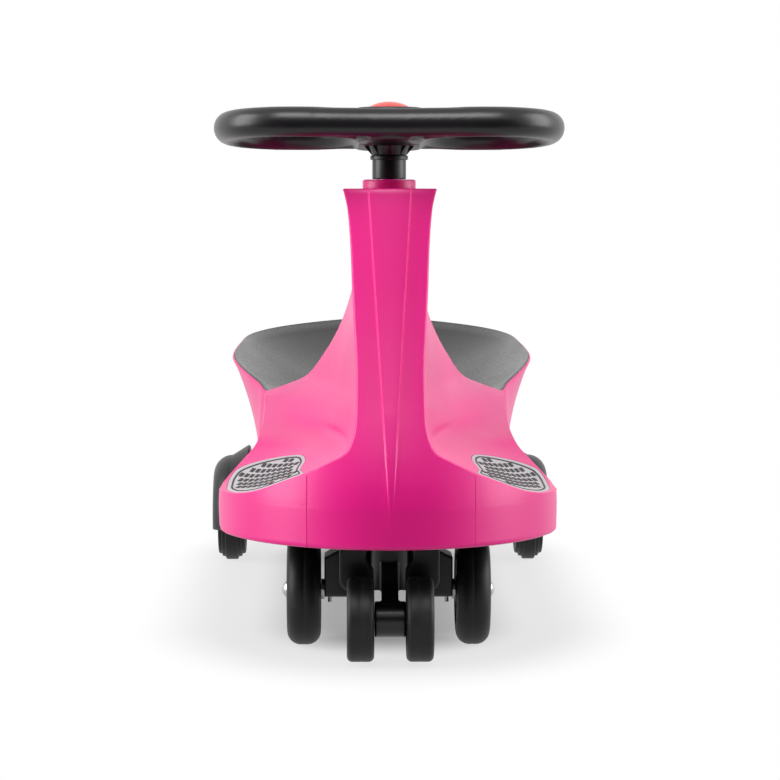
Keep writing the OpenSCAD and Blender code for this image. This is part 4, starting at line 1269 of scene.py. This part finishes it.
@dataclass
class FootRest:
    """One silver foot plate that follows its foot rest, with a border line and rows of grip lozenges."""

    side: Side
    shape: BodyShape
    margin: float = 3
    thick: float = 3
    fit: float = 0.2
    edge: float = 0.5
    steps: int = 132
    line: tuple[float, float] = (0.9, 0.86)
    line_rise: float = 0.3
    grip_share: float = 0.8
    grip_pitch: tuple[float, float] = (8.4, 9.5)
    grip_half: tuple[float, float] = (3.1, 8.2)
    grip_rise: float = 0.6
    grip_rows: tuple[int, int] = (16, 44)
    grip_files: tuple[int, int] = (5, 16)
    grip_taper: float = 0.8
    sunk: float = 0.2

    @property
    def middle(self) -> tuple[float, float]:
        """Middle of the right foot rest, seen from above."""
        across, along = self.shape.rest_middle
        return across * self.shape.skirt_half_w, -along * self.shape.nose_reach

    def ring(self, share: float, inset: float, lift: float) -> Row:
        """One ring of the plate on the foot rest.

        Args:
            share: 0 at the plate's middle, 1 at its edge.
            inset: How far the edge is drawn in.
            lift: Height above the foot rest.

        Returns:
            The ring.
        """
        shape = self.shape
        mx, my = self.middle
        ring: Row = []
        for x, y in shape.rest_edge(self.margin + inset, self.steps):
            px, py = mx + (x - mx) * share, my + (y - my) * share
            ring.append(Vector((px, py, shape.rest_z(px, py) + lift)))
        return ring[::-1]

    def sided(self, made: Workpiece) -> Workpiece:
        """Closes a right-hand piece, and mirrors it for the left."""
        made.close()
        return made.mirror() if self.side is Side.LEFT else made

    def bed(self, inset: float, lift: float) -> list[Row]:
        """Rings from a point in the plate's middle to its edge, drawn in by an inset, above the foot rest."""
        pole = [Vector((*self.middle, self.shape.rest_z(*self.middle) + lift))] * self.steps
        return [pole] + [self.ring(k / 10, inset, lift) for k in range(1, 11)]

    def room(self) -> Workpiece:
        """The recess that the plate lies in.

        Returns:
            The form that is cut out of the body.
        """
        rows = self.bed(-self.fit, -self.thick - self.fit)
        top = [[Vector((p.x, p.y, self.shape.top_z)) for p in row] for row in (rows[-1], rows[0])]
        made = Workpiece()
        made.skin([*rows, *top])
        return self.sided(made)

    def plate(self) -> Workpiece:
        """The plate with a rounded upper edge.

        Returns:
            The plate.
        """
        turn = [self.ring(1, inset, -fall) for inset, fall in rounded(self.edge, 0, 0.5, 1.0)]
        made = Workpiece()
        made.skin([*self.bed(0, -self.thick), *turn, *reversed(self.bed(self.edge, 0))])
        return self.sided(made)

    def border(self) -> Workpiece:
        """The border line that stands on the plate.

        Returns:
            The line, a thin raised band.
        """
        (out, back), low, high = self.line, -self.sunk, self.line_rise
        corners = [(out, low), (out, high), (back, high), (back, low), (out, low)]
        made = Workpiece()
        made.skin([self.ring(share, 0, lift) for share, lift in corners])
        return self.sided(made)

    def spots(self) -> Profile:
        """Places of the grip lozenges: straight rows, each shifted half a pitch from the last.

        Returns:
            Place across and along the car.
        """
        edge = self.ring(self.grip_share, 0, 0)
        wide, deep = self.grip_pitch
        found: Profile = []
        for j in range(*self.grip_rows):
            for i in range(*self.grip_files):
                x, y = wide * (i + 0.5 * (j % 2)), -deep * j
                odd = False
                for a, b in zip(edge, edge[1:] + edge[:1]):
                    if (a.y > y) != (b.y > y) and x < (b.x - a.x) * (y - a.y) / (b.y - a.y) + a.x:
                        odd = not odd
                if odd:
                    found.append((x, y))
        return found

    def grip(self) -> Workpiece:
        """All grip lozenges as low lands.

        Returns:
            The lozenges, each a solid of its own.
        """
        shape = self.shape
        wide, long = self.grip_half
        made = Workpiece()
        for x, y in self.spots():
            up = Vector((shape.rest_z(x - 1, y) - shape.rest_z(x + 1, y),
                         shape.rest_z(x, y - 1) - shape.rest_z(x, y + 1), 2)).normalized()
            turned = Vector((0, 0, 1)).rotation_difference(up).to_matrix().to_4x4()
            foot = Vector((x, y, shape.rest_z(x, y))) + up * (self.grip_rise / 2 - self.sunk)
            bmesh.ops.create_cone(
                made.bm, cap_ends=True, segments=4, radius1=1, radius2=self.grip_taper, depth=self.grip_rise,
                matrix=Matrix.Translation(foot) @ turned @ Matrix.Diagonal((wide, long, 1, 1)),
            )
        return made.mirror() if self.side is Side.LEFT else made

    def build(self) -> None:
        """Builds the plate, its border line and its grip lozenges."""
        word = self.side.word
        self.plate().finish(f"foot_plate_{word}", SILVER, "chassis", Slot.PLATE, [f"footplate_{word}"])
        self.border().finish(f"foot_plate_line_{word}", STUD, "chassis", Slot.BLACK)
        self.grip().finish(f"foot_plate_grip_{word}", STUD, "chassis", Slot.BLACK, (), 30)


@dataclass
class Column:
    """The collar on top of the column, and the bearings inside it."""

    axis_y: float = AXIS_Y
    top_z: float = TOP_Z
    collar_r: float = 19
    collar_h: float = 6.5
    bore_r: float = 9.05
    spigot_r: float = 13.8
    spigot: float = 22
    edge: float = 1.6
    bore_edge: float = 0.8

    def build(self) -> None:
        """Turns the collar with a soft upper edge, and dresses the bearings."""
        e, b, low, top = self.edge, self.bore_edge, -self.spigot, self.collar_h
        profile = [(self.bore_r, low), (self.spigot_r, low), (self.spigot_r, 0), (self.collar_r, 0)]
        profile += arc(self.collar_r - e, top - e, e, 0, 90)
        profile += arc(self.bore_r + b, top - b, b, 90, 180, 4)
        profile += [(self.bore_r, low)]
        made = Workpiece.turned(profile, (0, self.axis_y, self.top_z), "Z", 128)
        made.finish("collar", PINK, "chassis", Slot.BODY, ["column_collar"])
        dress(NYLON, "lower_bush", "thrust_washer")


@dataclass
class SteeringWheel:
    """The two-lobed steering wheel with its cap, stem, shaft and bolt."""

    axis_y: float = AXIS_Y
    rim_z: float = 377.5
    rake_deg: float = 2.8
    width: float = 250
    length: float = 160
    rim_w: float = 19
    rim_t: float = 21
    lobe_inner: float = 27
    blunt: float = 2.3
    hub_r: float = 23
    hub_half_len: float = 44
    hub_below: float = 12
    hub_above: float = 15.5
    spoke_t: float = 14
    bar_share: float = 0.556
    bar_in: float = 0.5
    bar_dip: float = 5
    web_t: float = 12
    cap_d: float = 30
    cap_h: float = 4
    cap_edge: float = 3.5
    recess: float = 10
    collar_top_z: float = 341.8
    stem_r: float = 12.1
    shaft_r: float = 9.2
    flange_r: float = 18
    flare_h: float = 7
    ring_out: float = 1.4
    ring_h: float = 3
    spoke_half: tuple[float, float] = (10, 6.5)
    spoke_shares: tuple[float, ...] = (0.74, 0.88, -0.74, -0.88)
    fins: int = 8
    fin_t: float = 2.4
    fin_deep: float = 2
    cap_soft: float = 0.3
    cap_fit: float = 0.2
    clear: float = 5
    stem_edge: float = 0.8
    ring_edge: float = 0.5
    lobe_steps: int = 144
    lobe_look: float = 0.01
    bar_steps: int = 32
    voxel: float = 1.25
    rounds: int = 6

    @staticmethod
    def round_trip() -> Profile:
        """Points round a circle of radius one, for the section of a bar."""
        return [(math.cos(f), math.sin(f)) for f in (math.tau * j / 24 for j in range(24))]

    def lobe_point(self, angle: float) -> tuple[float, float]:
        """Point on the middle line of the right lobe.

        Args:
            angle: Angle round the lobe in radians.

        Returns:
            Its place across and along the car, from the axis.
        """
        half = (self.width / 2 - self.lobe_inner) / 2
        middle = self.lobe_inner + half - self.rim_w / 2
        deep = (self.length - self.rim_w) / 2
        c, s = math.cos(angle), math.sin(angle)
        return (middle + half * math.copysign(abs(c) ** (2 / self.blunt), c),
                deep * math.copysign(abs(s) ** (2 / self.blunt), s))

    def lobe(self, made: Workpiece, sign: int) -> None:
        """Adds one lobe of the rim.

        Args:
            made: The wheel in the making.
            sign: Its side.
        """
        rows: list[Row] = []
        for i in range(self.lobe_steps + 1):
            a = math.tau * (i + 0.5) / self.lobe_steps
            x, y = self.lobe_point(a)
            x1, y1 = self.lobe_point(a + self.lobe_look)
            x0, y0 = self.lobe_point(a - self.lobe_look)
            u, v = Vector((y1 - y0, x0 - x1)).normalized()
            rows.append([
                Vector((sign * (x + u * c * self.rim_w / 2), y + v * c * self.rim_w / 2, s * self.rim_t / 2))
                for c, s in self.round_trip()
            ])
        made.skin(rows)

    def spoke(self, made: Workpiece, sign: int, share: float) -> None:
        """Adds a flat spoke from the hub to a lobe.

        Args:
            made: The wheel in the making.
            sign: Its side.
            share: Its place round the lobe, as a share of a half turn.
        """
        x, y = self.lobe_point(math.pi * share)
        end = Vector((sign * x, y, 0))
        way = end.normalized()
        across = Vector((-way.y, way.x, 0))
        t = Vector((0, 0, self.spoke_t / 2))
        root, tip = (across * half for half in self.spoke_half)
        corners = [root, end + tip, end - tip, -root]
        made.slab([c - t for c in corners], t * 2)

    def bar(self, made: Workpiece, end: int) -> None:
        """Adds the bar from lobe to lobe, which dips towards the hub, and the web behind it.

        Args:
            made: The wheel in the making.
            end: -1 for the front, 1 for the rear.
        """
        x, y = self.lobe_point(math.pi * self.bar_share)
        wide, tall = self.rim_w / 2 - self.bar_in, self.rim_t / 2 - self.bar_in
        rows: list[Row] = []
        for k in range(self.bar_steps + 1):
            u = 2 * k / self.bar_steps - 1
            middle = end * (y - self.bar_dip * (1 - u * u) ** 2)
            rows.append([Vector((u * x, middle + c * wide, s * tall)) for c, s in self.round_trip()])
        made.skin(rows)
        low = -self.web_t / 2
        outline = [(-self.hub_r, self.hub_half_len), (-x, y), (x, y), (self.hub_r, self.hub_half_len)]
        made.slab([(px, end * py, low) for px, py in outline], (0, 0, self.web_t))

    def wheel(self) -> Workpiece:
        """The wheel as one soft-edged moulding with a recess for its cap.

        Returns:
            The wheel.
        """
        made = Workpiece()
        for sign in (-1, 1):
            self.lobe(made, sign)
            for share in self.spoke_shares:
                self.spoke(made, sign, share)
        for end in (-1, 1):
            self.bar(made, end)
            made.rod(self.hub_r, (0, end * self.hub_half_len, -self.hub_below),
                     (0, end * self.hub_half_len, self.rim_t - self.hub_below), 64)
        made.block((-self.hub_r, -self.hub_half_len, -self.hub_below),
                   (self.hub_r, self.hub_half_len, self.rim_t - self.hub_below))
        rake = Matrix.Translation((0, self.axis_y, self.rim_z)) @ Matrix.Rotation(
            math.radians(-self.rake_deg), 4, "X")
        made.close()
        bmesh.ops.transform(made.bm, matrix=rake, verts=made.bm.verts)
        top = self.rim_z + self.hub_above
        made.rod(self.hub_r, (0, self.axis_y, self.rim_z - self.hub_below), (0, self.axis_y, top), 64)
        made.blend(self.voxel, self.rounds)
        low, high = ((0, self.axis_y, z) for z in (top - self.recess, top + self.clear))
        return made.combine(Workpiece().rod(self.cap_d / 2 + self.cap_fit, low, high, 96), Cut.AWAY)

    def cap(self) -> Workpiece:
        """The domed cap.

        Returns:
            The cap.
        """
        r, top = self.cap_d / 2, self.rim_z + self.hub_above
        dome = (r * r + self.cap_h * self.cap_h) / (2 * self.cap_h)
        rise = math.degrees(math.acos(r / dome))
        low, soft = -self.cap_edge, self.cap_soft
        profile = [(0, low), (r - soft, low), (r, low + soft)]
        profile += arc(0, self.cap_h - dome, dome, rise, 90, 16)
        return Workpiece.turned(profile, (0, self.axis_y, top), "Z")

    def stem(self) -> Workpiece:
        """The stem with its ring, flare and gussets.

        Returns:
            The stem.
        """
        low, high = self.collar_top_z, self.rim_z - self.hub_below
        flare = high - self.flare_h
        r, e, soft = self.stem_r, self.stem_edge, self.ring_edge
        profile = [(self.shaft_r, low)]
        profile += arc(r - e, low + e, e, -90, 0, 4)
        profile += [(r, flare - self.ring_h)]
        profile += arc(r + self.ring_out - soft, flare - self.ring_h + soft, soft, -90, 0, 3)
        profile += arc(r + self.ring_out - soft, flare - soft, soft, 0, 90, 3)
        profile += [(r, flare), ((r + self.flange_r) / 2, high), (self.shaft_r, high), (self.shaft_r, low)]
        made = Workpiece.turned(profile, (0, self.axis_y, 0), "Z")
        root, face = r - self.fin_deep, -self.fin_t / 2
        fin = [(root, face, flare), (r, face, flare), (self.flange_r, face, high), (root, face, high)]
        for k in range(self.fins):
            turned = Matrix.Translation((0, self.axis_y, 0)) @ Matrix.Rotation(math.tau * k / self.fins, 4, "Z")
            made.slab([turned @ Vector(p) for p in fin], turned.to_3x3() @ Vector((0, self.fin_t, 0)))
        bmesh.ops.recalc_face_normals(made.bm, faces=made.bm.faces)
        return made

    def build(self) -> None:
        """Builds the wheel, cap and stem, and dresses the shaft and its bolt."""
        self.wheel().finish("steering_wheel_moulded", BLACK, "steering", Slot.BLACK, ["steering_wheel"], 50)
        self.cap().finish("steering_cap_domed", RED, "steering", Slot.CAP, ["steering_cap"])
        self.stem().finish("stem_cover_turned", BLACK, "steering", Slot.BLACK, ["stem_cover"])
        dress(STEEL, "steering_shaft", "steering_bolt")


@dataclass
class FrontBracket:
    """The black steering bracket and the fasteners in it."""

    voxel: float = 0.7
    rounds: int = 5

    def build(self) -> None:
        """Softens the bracket's moulded edges and dresses its metal parts."""
        made = Workpiece.from_node("front_bracket").blend(self.voxel, self.rounds)
        made.finish("steering_bracket", GLOSS_BLACK, "steering", Slot.BLACK, ["front_bracket"], 60)
        dress(STEEL, "bracket_bolt", "bracket_nut", "front_spacers", "axle_set_screws", "safety_axle",
              "front_axle_left", "front_axle_right")
        dress(BLACK, "safety_axle_caps")


@dataclass
class Wheel:
    """One wheel: a cast tyre on a ribbed hub."""

    kind: str
    side: Side
    x: float
    y: float
    radius: float
    lift: float
    width: float
    rim_r: float
    web_r: float
    boss_r: float
    bore_r: float
    web_w: float
    crown: float
    bands: tuple[tuple[float, float], ...] = ()
    ribs: int = 8
    rib_t: float = 2.2
    rib_in: float = 3.2
    cap_room: float = 0
    cap_fit: float = 0.6
    fit: float = 0.05
    groove: tuple[tuple[float, float], ...] = ((0, 0), (1.6, 0), (2.0, 0.5), (3.0, 0.5), (3.4, 0))
    seam_w: float = 0.5
    seam_deep: float = 0.12
    band_round: float = 1.6
    band_edge: float = 0.25
    edge: float = 0.6
    fillet: float = 1

    @property
    def centre(self) -> Vector:
        """Middle of the wheel."""
        return Vector((self.side.sign * self.x, self.y, self.radius + self.lift))

    def named(self, part: str) -> str:
        """Name of a part of this wheel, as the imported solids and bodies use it."""
        return f"{self.kind}_{part}_{self.side.word}"

    def both(self, half: Profile, steps: int) -> Workpiece:
        """Turns half of an outline and its mirror image into a ring round the axle."""
        other = [(r, -a) for r, a in reversed(half)]
        return Workpiece.turned([*half, *other, half[0]], self.centre, "X", steps)

    def half_tread(self) -> Profile:
        """Half of the tyre's outline, from its side face to the middle of the tread.

        Returns:
            Radius and place across the wheel, point by point.
        """
        half, inner = self.width / 2, self.rim_r + self.fit
        line = [(inner + out, half - deep) for out, deep in self.groove]
        if not self.bands:
            line += arc(self.radius - self.crown, half - self.crown, self.crown, 90, 0, 14)
            return line + [(self.radius, self.seam_w), (self.radius - self.seam_deep, self.seam_w / 2)]
        reach, c, soft = half, min(self.crown, self.band_round), self.band_edge
        for r, edge in self.bands:
            line += arc(r - c, reach - c, c, 90, 0, 6)
            line += [(r, edge + soft), (r + soft, edge)] if edge else []
            reach = edge
        return line

    def hub(self) -> Workpiece:
        """The hub with ribs between its boss and its rim.

        Returns:
            The hub.
        """
        half, web, boss, rim = self.width / 2, self.web_w / 2, self.boss_r, self.web_r
        e, f = self.edge, self.fillet
        line = [(self.bore_r, half), (boss - e, half), (boss, half - e), (boss, web + f), (boss + f, web),
                (rim - f, web), (rim, web + f), (rim, half - f - e), (rim + e, half - f), (self.rim_r, half - f)]
        made, ribs = self.both(line, 96), Workpiece()
        reach = half - self.rib_in
        for k in range(self.ribs):
            turned = Matrix.Translation(self.centre) @ Matrix.Rotation(math.tau * (k + 0.5) / self.ribs, 4, "X")
            ribs.block((-reach, -self.rib_t / 2, boss - f), (reach, self.rib_t / 2, rim + f), turned)
        made.combine(ribs, Cut.TOGETHER)
        if self.cap_room:
            deep = Vector((self.side.sign, 0, 0))
            out = self.centre + deep * half
            seat = Workpiece().rod(boss + self.cap_fit, out - deep * self.cap_room, out + deep, 64)
            made.combine(seat, Cut.AWAY)
        return made

    def build(self) -> None:
        """Builds the tyre and the hub."""
        tyre, hub, body = (self.named(part) for part in ("tyre", "hub", "wheel"))
        self.both(self.half_tread(), 128).finish(f"{tyre}_cast", TYRE, body, Slot.TYRE, [tyre])
        self.hub().finish(f"{hub}_ribbed", HUB, body, Slot.HUB, [hub])


@dataclass
class Fender:
    """One rear fender with its foot and the boss over the axle's end."""

    side: Side
    axle_y: float = 250
    axle_z: float = 41
    in_x: float = 117.8
    out_x: float = 151
    radius: float = 63
    fall: float = 9
    corner: float = 17
    wall: float = 4
    well_r: float = 46
    low_z: float = 31.7
    boss_r: float = 11
    boss_h: float = 1
    boss_sunk: float = 2
    boss_edge: float = 0.5
    boss_ring: tuple[float, float] = (3, 3.6)
    back_edge: float = 2
    foot_edge: float = 1
    low_edge: float = 0.7
    trim: tuple[float, float, float] = (200, 100, 50)
    foot_x: float = 64
    foot_t: float = 6
    foot_len: float = 54
    base_z: float = BASE_Z

    def build(self) -> None:
        """Turns the fender, hollows it, trims its lower edge and adds boss and foot."""
        centre = (0, self.axle_y, self.axle_z)
        top, back = self.radius - self.fall, self.back_edge
        profile = [(0, self.in_x), (self.radius - back, self.in_x)]
        profile += arc(self.radius - back, self.in_x + back, back, -90, 0, 5)
        profile += arc(top - self.corner, self.out_x - self.corner, self.corner, 0, 90, 14)
        profile += [(0, self.out_x)]
        made = Workpiece.turned(profile, centre, "X", 160)
        low, end, r, e = self.out_x - self.boss_sunk, self.out_x + self.boss_h, self.boss_r, self.boss_edge
        ring, dip = (r - wide for wide in self.boss_ring)
        rise = [(0, low), (r, low), (r, end - e), (r - e, end), (ring, end), (dip, end - e), (0, end - e)]
        made.combine(Workpiece.turned(rise, centre, "X", 64), Cut.TOGETHER)
        inner, outer = self.in_x + self.wall, self.out_x - self.wall
        foot = Workpiece().block((self.foot_x, self.axle_y - self.foot_len / 2, self.base_z - self.foot_t),
                                 (inner, self.axle_y + self.foot_len / 2, self.base_z))
        made.combine(foot.round_edges(self.foot_edge), Cut.TOGETHER)
        made.combine(Workpiece().rod(self.well_r, (inner, *centre[1:]), (outer, *centre[1:]), 128), Cut.AWAY)
        wide, long, deep = self.trim
        below = Workpiece().block((0, self.axle_y - long, -deep), (wide, self.axle_y + long, self.low_z))
        made.combine(below, Cut.AWAY)
        made.round_edges(self.low_edge, where=lambda p: p.z < self.low_z + 0.2)
        if self.side is Side.LEFT:
            made.mirror()
        word = self.side.word
        made.finish(f"fender_{word}_moulded", FENDER, "chassis", Slot.FENDER, [f"fender_{word}"])


@dataclass
class Screws:
    """A set of cross-head screws with their heads down."""

    name: str
    node: str
    places: list[tuple[float, float]]
    head_z: float
    head_r: float
    head_h: float
    shank_r: float
    length: float
    head: tuple[tuple[float, float], ...] = ((0.6, 0), (0.9, 0.25), (1, 0.6), (1, 1))
    tip: tuple[float, float] = (0.8, 1)
    cross: tuple[float, float] = (0.55, 0.12)
    cross_deep: float = 0.6

    def build(self) -> None:
        """Turns one screw, cuts its cross and repeats it at each place."""
        h, r, low = self.head_h, self.head_r, self.head_z
        shank, end, (slim, point) = self.shank_r, self.length, self.tip
        line = [(0, 0), *((r * out, h * up) for out, up in self.head)]
        line += [(shank, h), (shank, end - point), (shank - slim, end), (0, end)]
        one = Workpiece.turned(line, (0, 0, low), "Z", 40)
        long, thin = (r * share for share in self.cross)
        for wide, deep in ((long, thin), (thin, long)):
            bar = Workpiece().block((-wide, -deep, low - 1), (wide, deep, low + h * self.cross_deep))
            one.combine(bar, Cut.AWAY)
        first = list(one.bm.verts) + list(one.bm.edges) + list(one.bm.faces)
        for x, y in self.places[1:]:
            copy = bmesh.ops.duplicate(one.bm, geom=first)["geom"]
            moved = [g for g in copy if isinstance(g, bmesh.types.BMVert)]
            bmesh.ops.translate(one.bm, vec=(x, y, 0), verts=moved)
        moved = [g for g in first if isinstance(g, bmesh.types.BMVert)]
        bmesh.ops.translate(one.bm, vec=(*self.places[0], 0), verts=moved)
        one.finish(self.name, STEEL, "chassis", Slot.STEEL, [self.node])


@dataclass
class Studio:
    """Floor, light, surroundings and camera."""

    eye: tuple[float, float, float] = (-0.0306, -2.350, 0.329)
    yaw_deg: float = -0.87
    pitch_deg: float = 3.85
    focal_px: float = 2867
    image_px: float = 780
    sensor: float = 36
    ambient: float = 0.22
    floor_grey: float = 160
    shade_ends: tuple[float, float] = (-0.15, 0.25)
    shade_squeeze: float = 2.6
    shade_steps: tuple[tuple[float, float, float], ...] = ((0.06, 0.18, 0.5), (0.2, 0.32, 0.26))
    shade_least: float = 0.24

    def camera(self) -> None:
        """Sets the camera where the photograph was taken from."""
        lens = bpy.data.cameras.new("camera")
        lens.sensor_width = self.sensor
        lens.lens = self.sensor * self.focal_px / self.image_px
        lens.clip_start, lens.clip_end = 0.05, 60
        made = bpy.data.objects.new("camera", lens)
        made.location = self.eye
        made.rotation_euler = (math.radians(90 - self.pitch_deg), 0, math.radians(self.yaw_deg))
        bpy.context.scene.collection.objects.link(made)
        bpy.context.scene.camera = made

    def lamp(self, name: str, place: Sequence[float], aim: Sequence[float], size: tuple[float, float],
             radiance: float) -> None:
        """Adds a softbox.

        Args:
            name: The lamp's name.
            place: Where it stands.
            aim: The point it looks at.
            size: Its width and height.
            radiance: Brightness of its face.
        """
        light = bpy.data.lights.new(name, "AREA")
        light.shape = "RECTANGLE"
        light.size, light.size_y = size
        light.energy = math.pi * size[0] * size[1] * radiance
        made = bpy.data.objects.new(name, light)
        made.location = place
        made.rotation_euler = (Vector(aim) - Vector(place)).to_track_quat("-Z", "Y").to_euler()
        bpy.context.scene.collection.objects.link(made)

    @staticmethod
    def seen(bench: Bench) -> Wire:
        """1 for what the camera sees directly, in gloss or through glass."""
        path = bench.node("ShaderNodeLightPath")
        return path["Is Camera Ray"].most(path["Is Glossy Ray"]).most(path["Is Transmission Ray"])

    def world(self) -> None:
        """Sets soft light from all round and a white background."""
        world = bpy.data.worlds.new("studio")
        world.use_nodes = True
        bpy.context.scene.world = world
        bench = Bench(world.node_tree)
        soft = bench.node("ShaderNodeBackground", None, {"Color": (1, 1, 1, 1), "Strength": self.ambient})
        white = bench.node("ShaderNodeBackground", None, {"Color": (1, 1, 1, 1), "Strength": 1.0})
        both = bench.node("ShaderNodeMixShader", None, {0: self.seen(bench), 1: soft[0], 2: white[0]})
        bench.node("ShaderNodeOutputWorld", None, {"Surface": both[0]})

    def floor(self) -> None:
        """Lays a pale floor that keeps the car's shadow and fades into the background."""
        made = Workpiece()
        bmesh.ops.create_grid(made.bm, x_segments=1, y_segments=1, size=8)
        floor = made.loose("floor")
        paper = bpy.data.materials.new("floor_paper")
        paper.use_nodes = True
        bench = Bench(paper.node_tree)
        x, y, _ = bench.axes()
        front, rear = self.shade_ends
        past = (y - front).least(0) + (y - rear).most(0)
        far = (x * x * self.shade_squeeze + past * past) ** 0.5
        matt = bench.node("ShaderNodeBsdfDiffuse", None, {"Color": linear(*[self.floor_grey] * 3)})
        glow = bench.node("ShaderNodeEmission", None, {"Color": (1, 1, 1, 1), "Strength": 1.0})
        near, wide = (far.step(low, high) * part for low, high, part in self.shade_steps)
        share = self.seen(bench) * (near + wide + self.shade_least)
        both = bench.node("ShaderNodeMixShader", None, {0: share, 1: matt[0], 2: glow[0]})
        bench.node("ShaderNodeOutputMaterial", None, {"Surface": both[0]})
        floor.data.materials.append(paper)

    @staticmethod
    def flag(name: str, place: Matrix, gloss_only: bool) -> None:
        """Sets a dark cloth, so the front of the car isn't washed out.

        Args:
            name: The cloth's name.
            place: Turns, stretches and moves a cloth of two metres square.
            gloss_only: Whether it is there for reflections alone.
        """
        made = Workpiece()
        bmesh.ops.create_grid(made.bm, x_segments=1, y_segments=1, size=1, matrix=place)
        flag = made.loose(name)
        flag.visible_camera = False
        flag.visible_diffuse = flag.visible_shadow = flag.visible_transmission = not gloss_only
        cloth = bpy.data.materials.get("flag_cloth") or bpy.data.materials.new("flag_cloth")
        cloth.use_nodes = True
        Bench(cloth.node_tree).surface({"Base Color": linear(40, 40, 42), "Roughness": 0.95})
        flag.data.materials.append(cloth)

    def build(self) -> None:
        """Sets up the whole studio."""
        scene = bpy.context.scene
        scene.view_settings.view_transform = "Standard"
        self.camera()
        self.world()
        self.floor()
        upright = Matrix.Translation((0, -2.75, 0.6)) @ Matrix.Rotation(math.radians(90), 4, "X")
        self.flag("flag_front", upright @ Matrix.Diagonal((2.5, 0.6, 1, 1)), False)
        self.flag("flag_low", Matrix.Translation((0, -1.75, 0.001)) @ Matrix.Diagonal((1.5, 1.0, 1, 1)), True)
        aim = (0, -0.1, 0.2)
        self.lamp("left_box", (-1.55, -0.4, 0.75), aim, (1.1, 1.5), 5.6)
        self.lamp("right_box", (1.55, -0.2, 0.75), aim, (1.1, 1.5), 4.6)
        self.lamp("front_box", (-0.06, -0.88, 0.95), (0, -0.33, 0.3), (0.6, 0.4), 8.4)


def wheels() -> list[Wheel]:
    """The car's six wheels.

    Returns:
        The wheels, not yet built.
    """
    made: list[Wheel] = []
    for side in Side:
        made.append(Wheel(
            "front", side, x=62, y=-250, radius=40.8, lift=0, width=24.8, rim_r=27, web_r=22, boss_r=10,
            bore_r=3.55, web_w=10, crown=10))
        made.append(Wheel(
            "safety", side, x=21, y=-342, radius=30, lift=1.7, width=19.3, rim_r=19, web_r=15, boss_r=7,
            bore_r=3.05, web_w=9, crown=4, ribs=6, cap_room=3.35))
        made.append(Wheel(
            "rear", side, x=134.4, y=250, radius=41, lift=0, width=24.4, rim_r=26, web_r=21, boss_r=10,
            bore_r=4.05, web_w=10, crown=2.5, bands=((35.8, 9.1), (38.4, 5.7), (41, 0))))
    return made


def main() -> None:
    """Builds the car and its studio."""
    logging.basicConfig(level=logging.INFO, format="%(message)s")
    Studio().build()
    shape = BodyShape()
    Body(shape).build()
    Seat(shape).build()
    for side in Side:
        FootRest(side, shape).build()
        Fender(side).build()
    Column().build()
    SteeringWheel().build()
    FrontBracket().build()
    for wheel in wheels():
        wheel.build()
    belly = [(sign * x, y) for sign in (-1, 1) for x, y in (
        (90, -241.8), (50, -323.7), (77.5, -62.4), (77.25, 117), (45.32, 288.6))]
    Screws("belly_screws_cross", "belly_screws", belly,
           head_z=86, head_r=4, head_h=2, shank_r=2, length=16).build()
    feet = [(sign * 76, 250 + along) for sign in (-1, 1) for along in (-14, 14)]
    Screws("fender_screws_cross", "fender_screws", feet,
           head_z=77, head_r=5, head_h=3, shank_r=2.5, length=27).build()
    dress(FENDER, "belly_pan")
    dress(STEEL, "rear_axle")


if __name__ == "__main__":
    main()
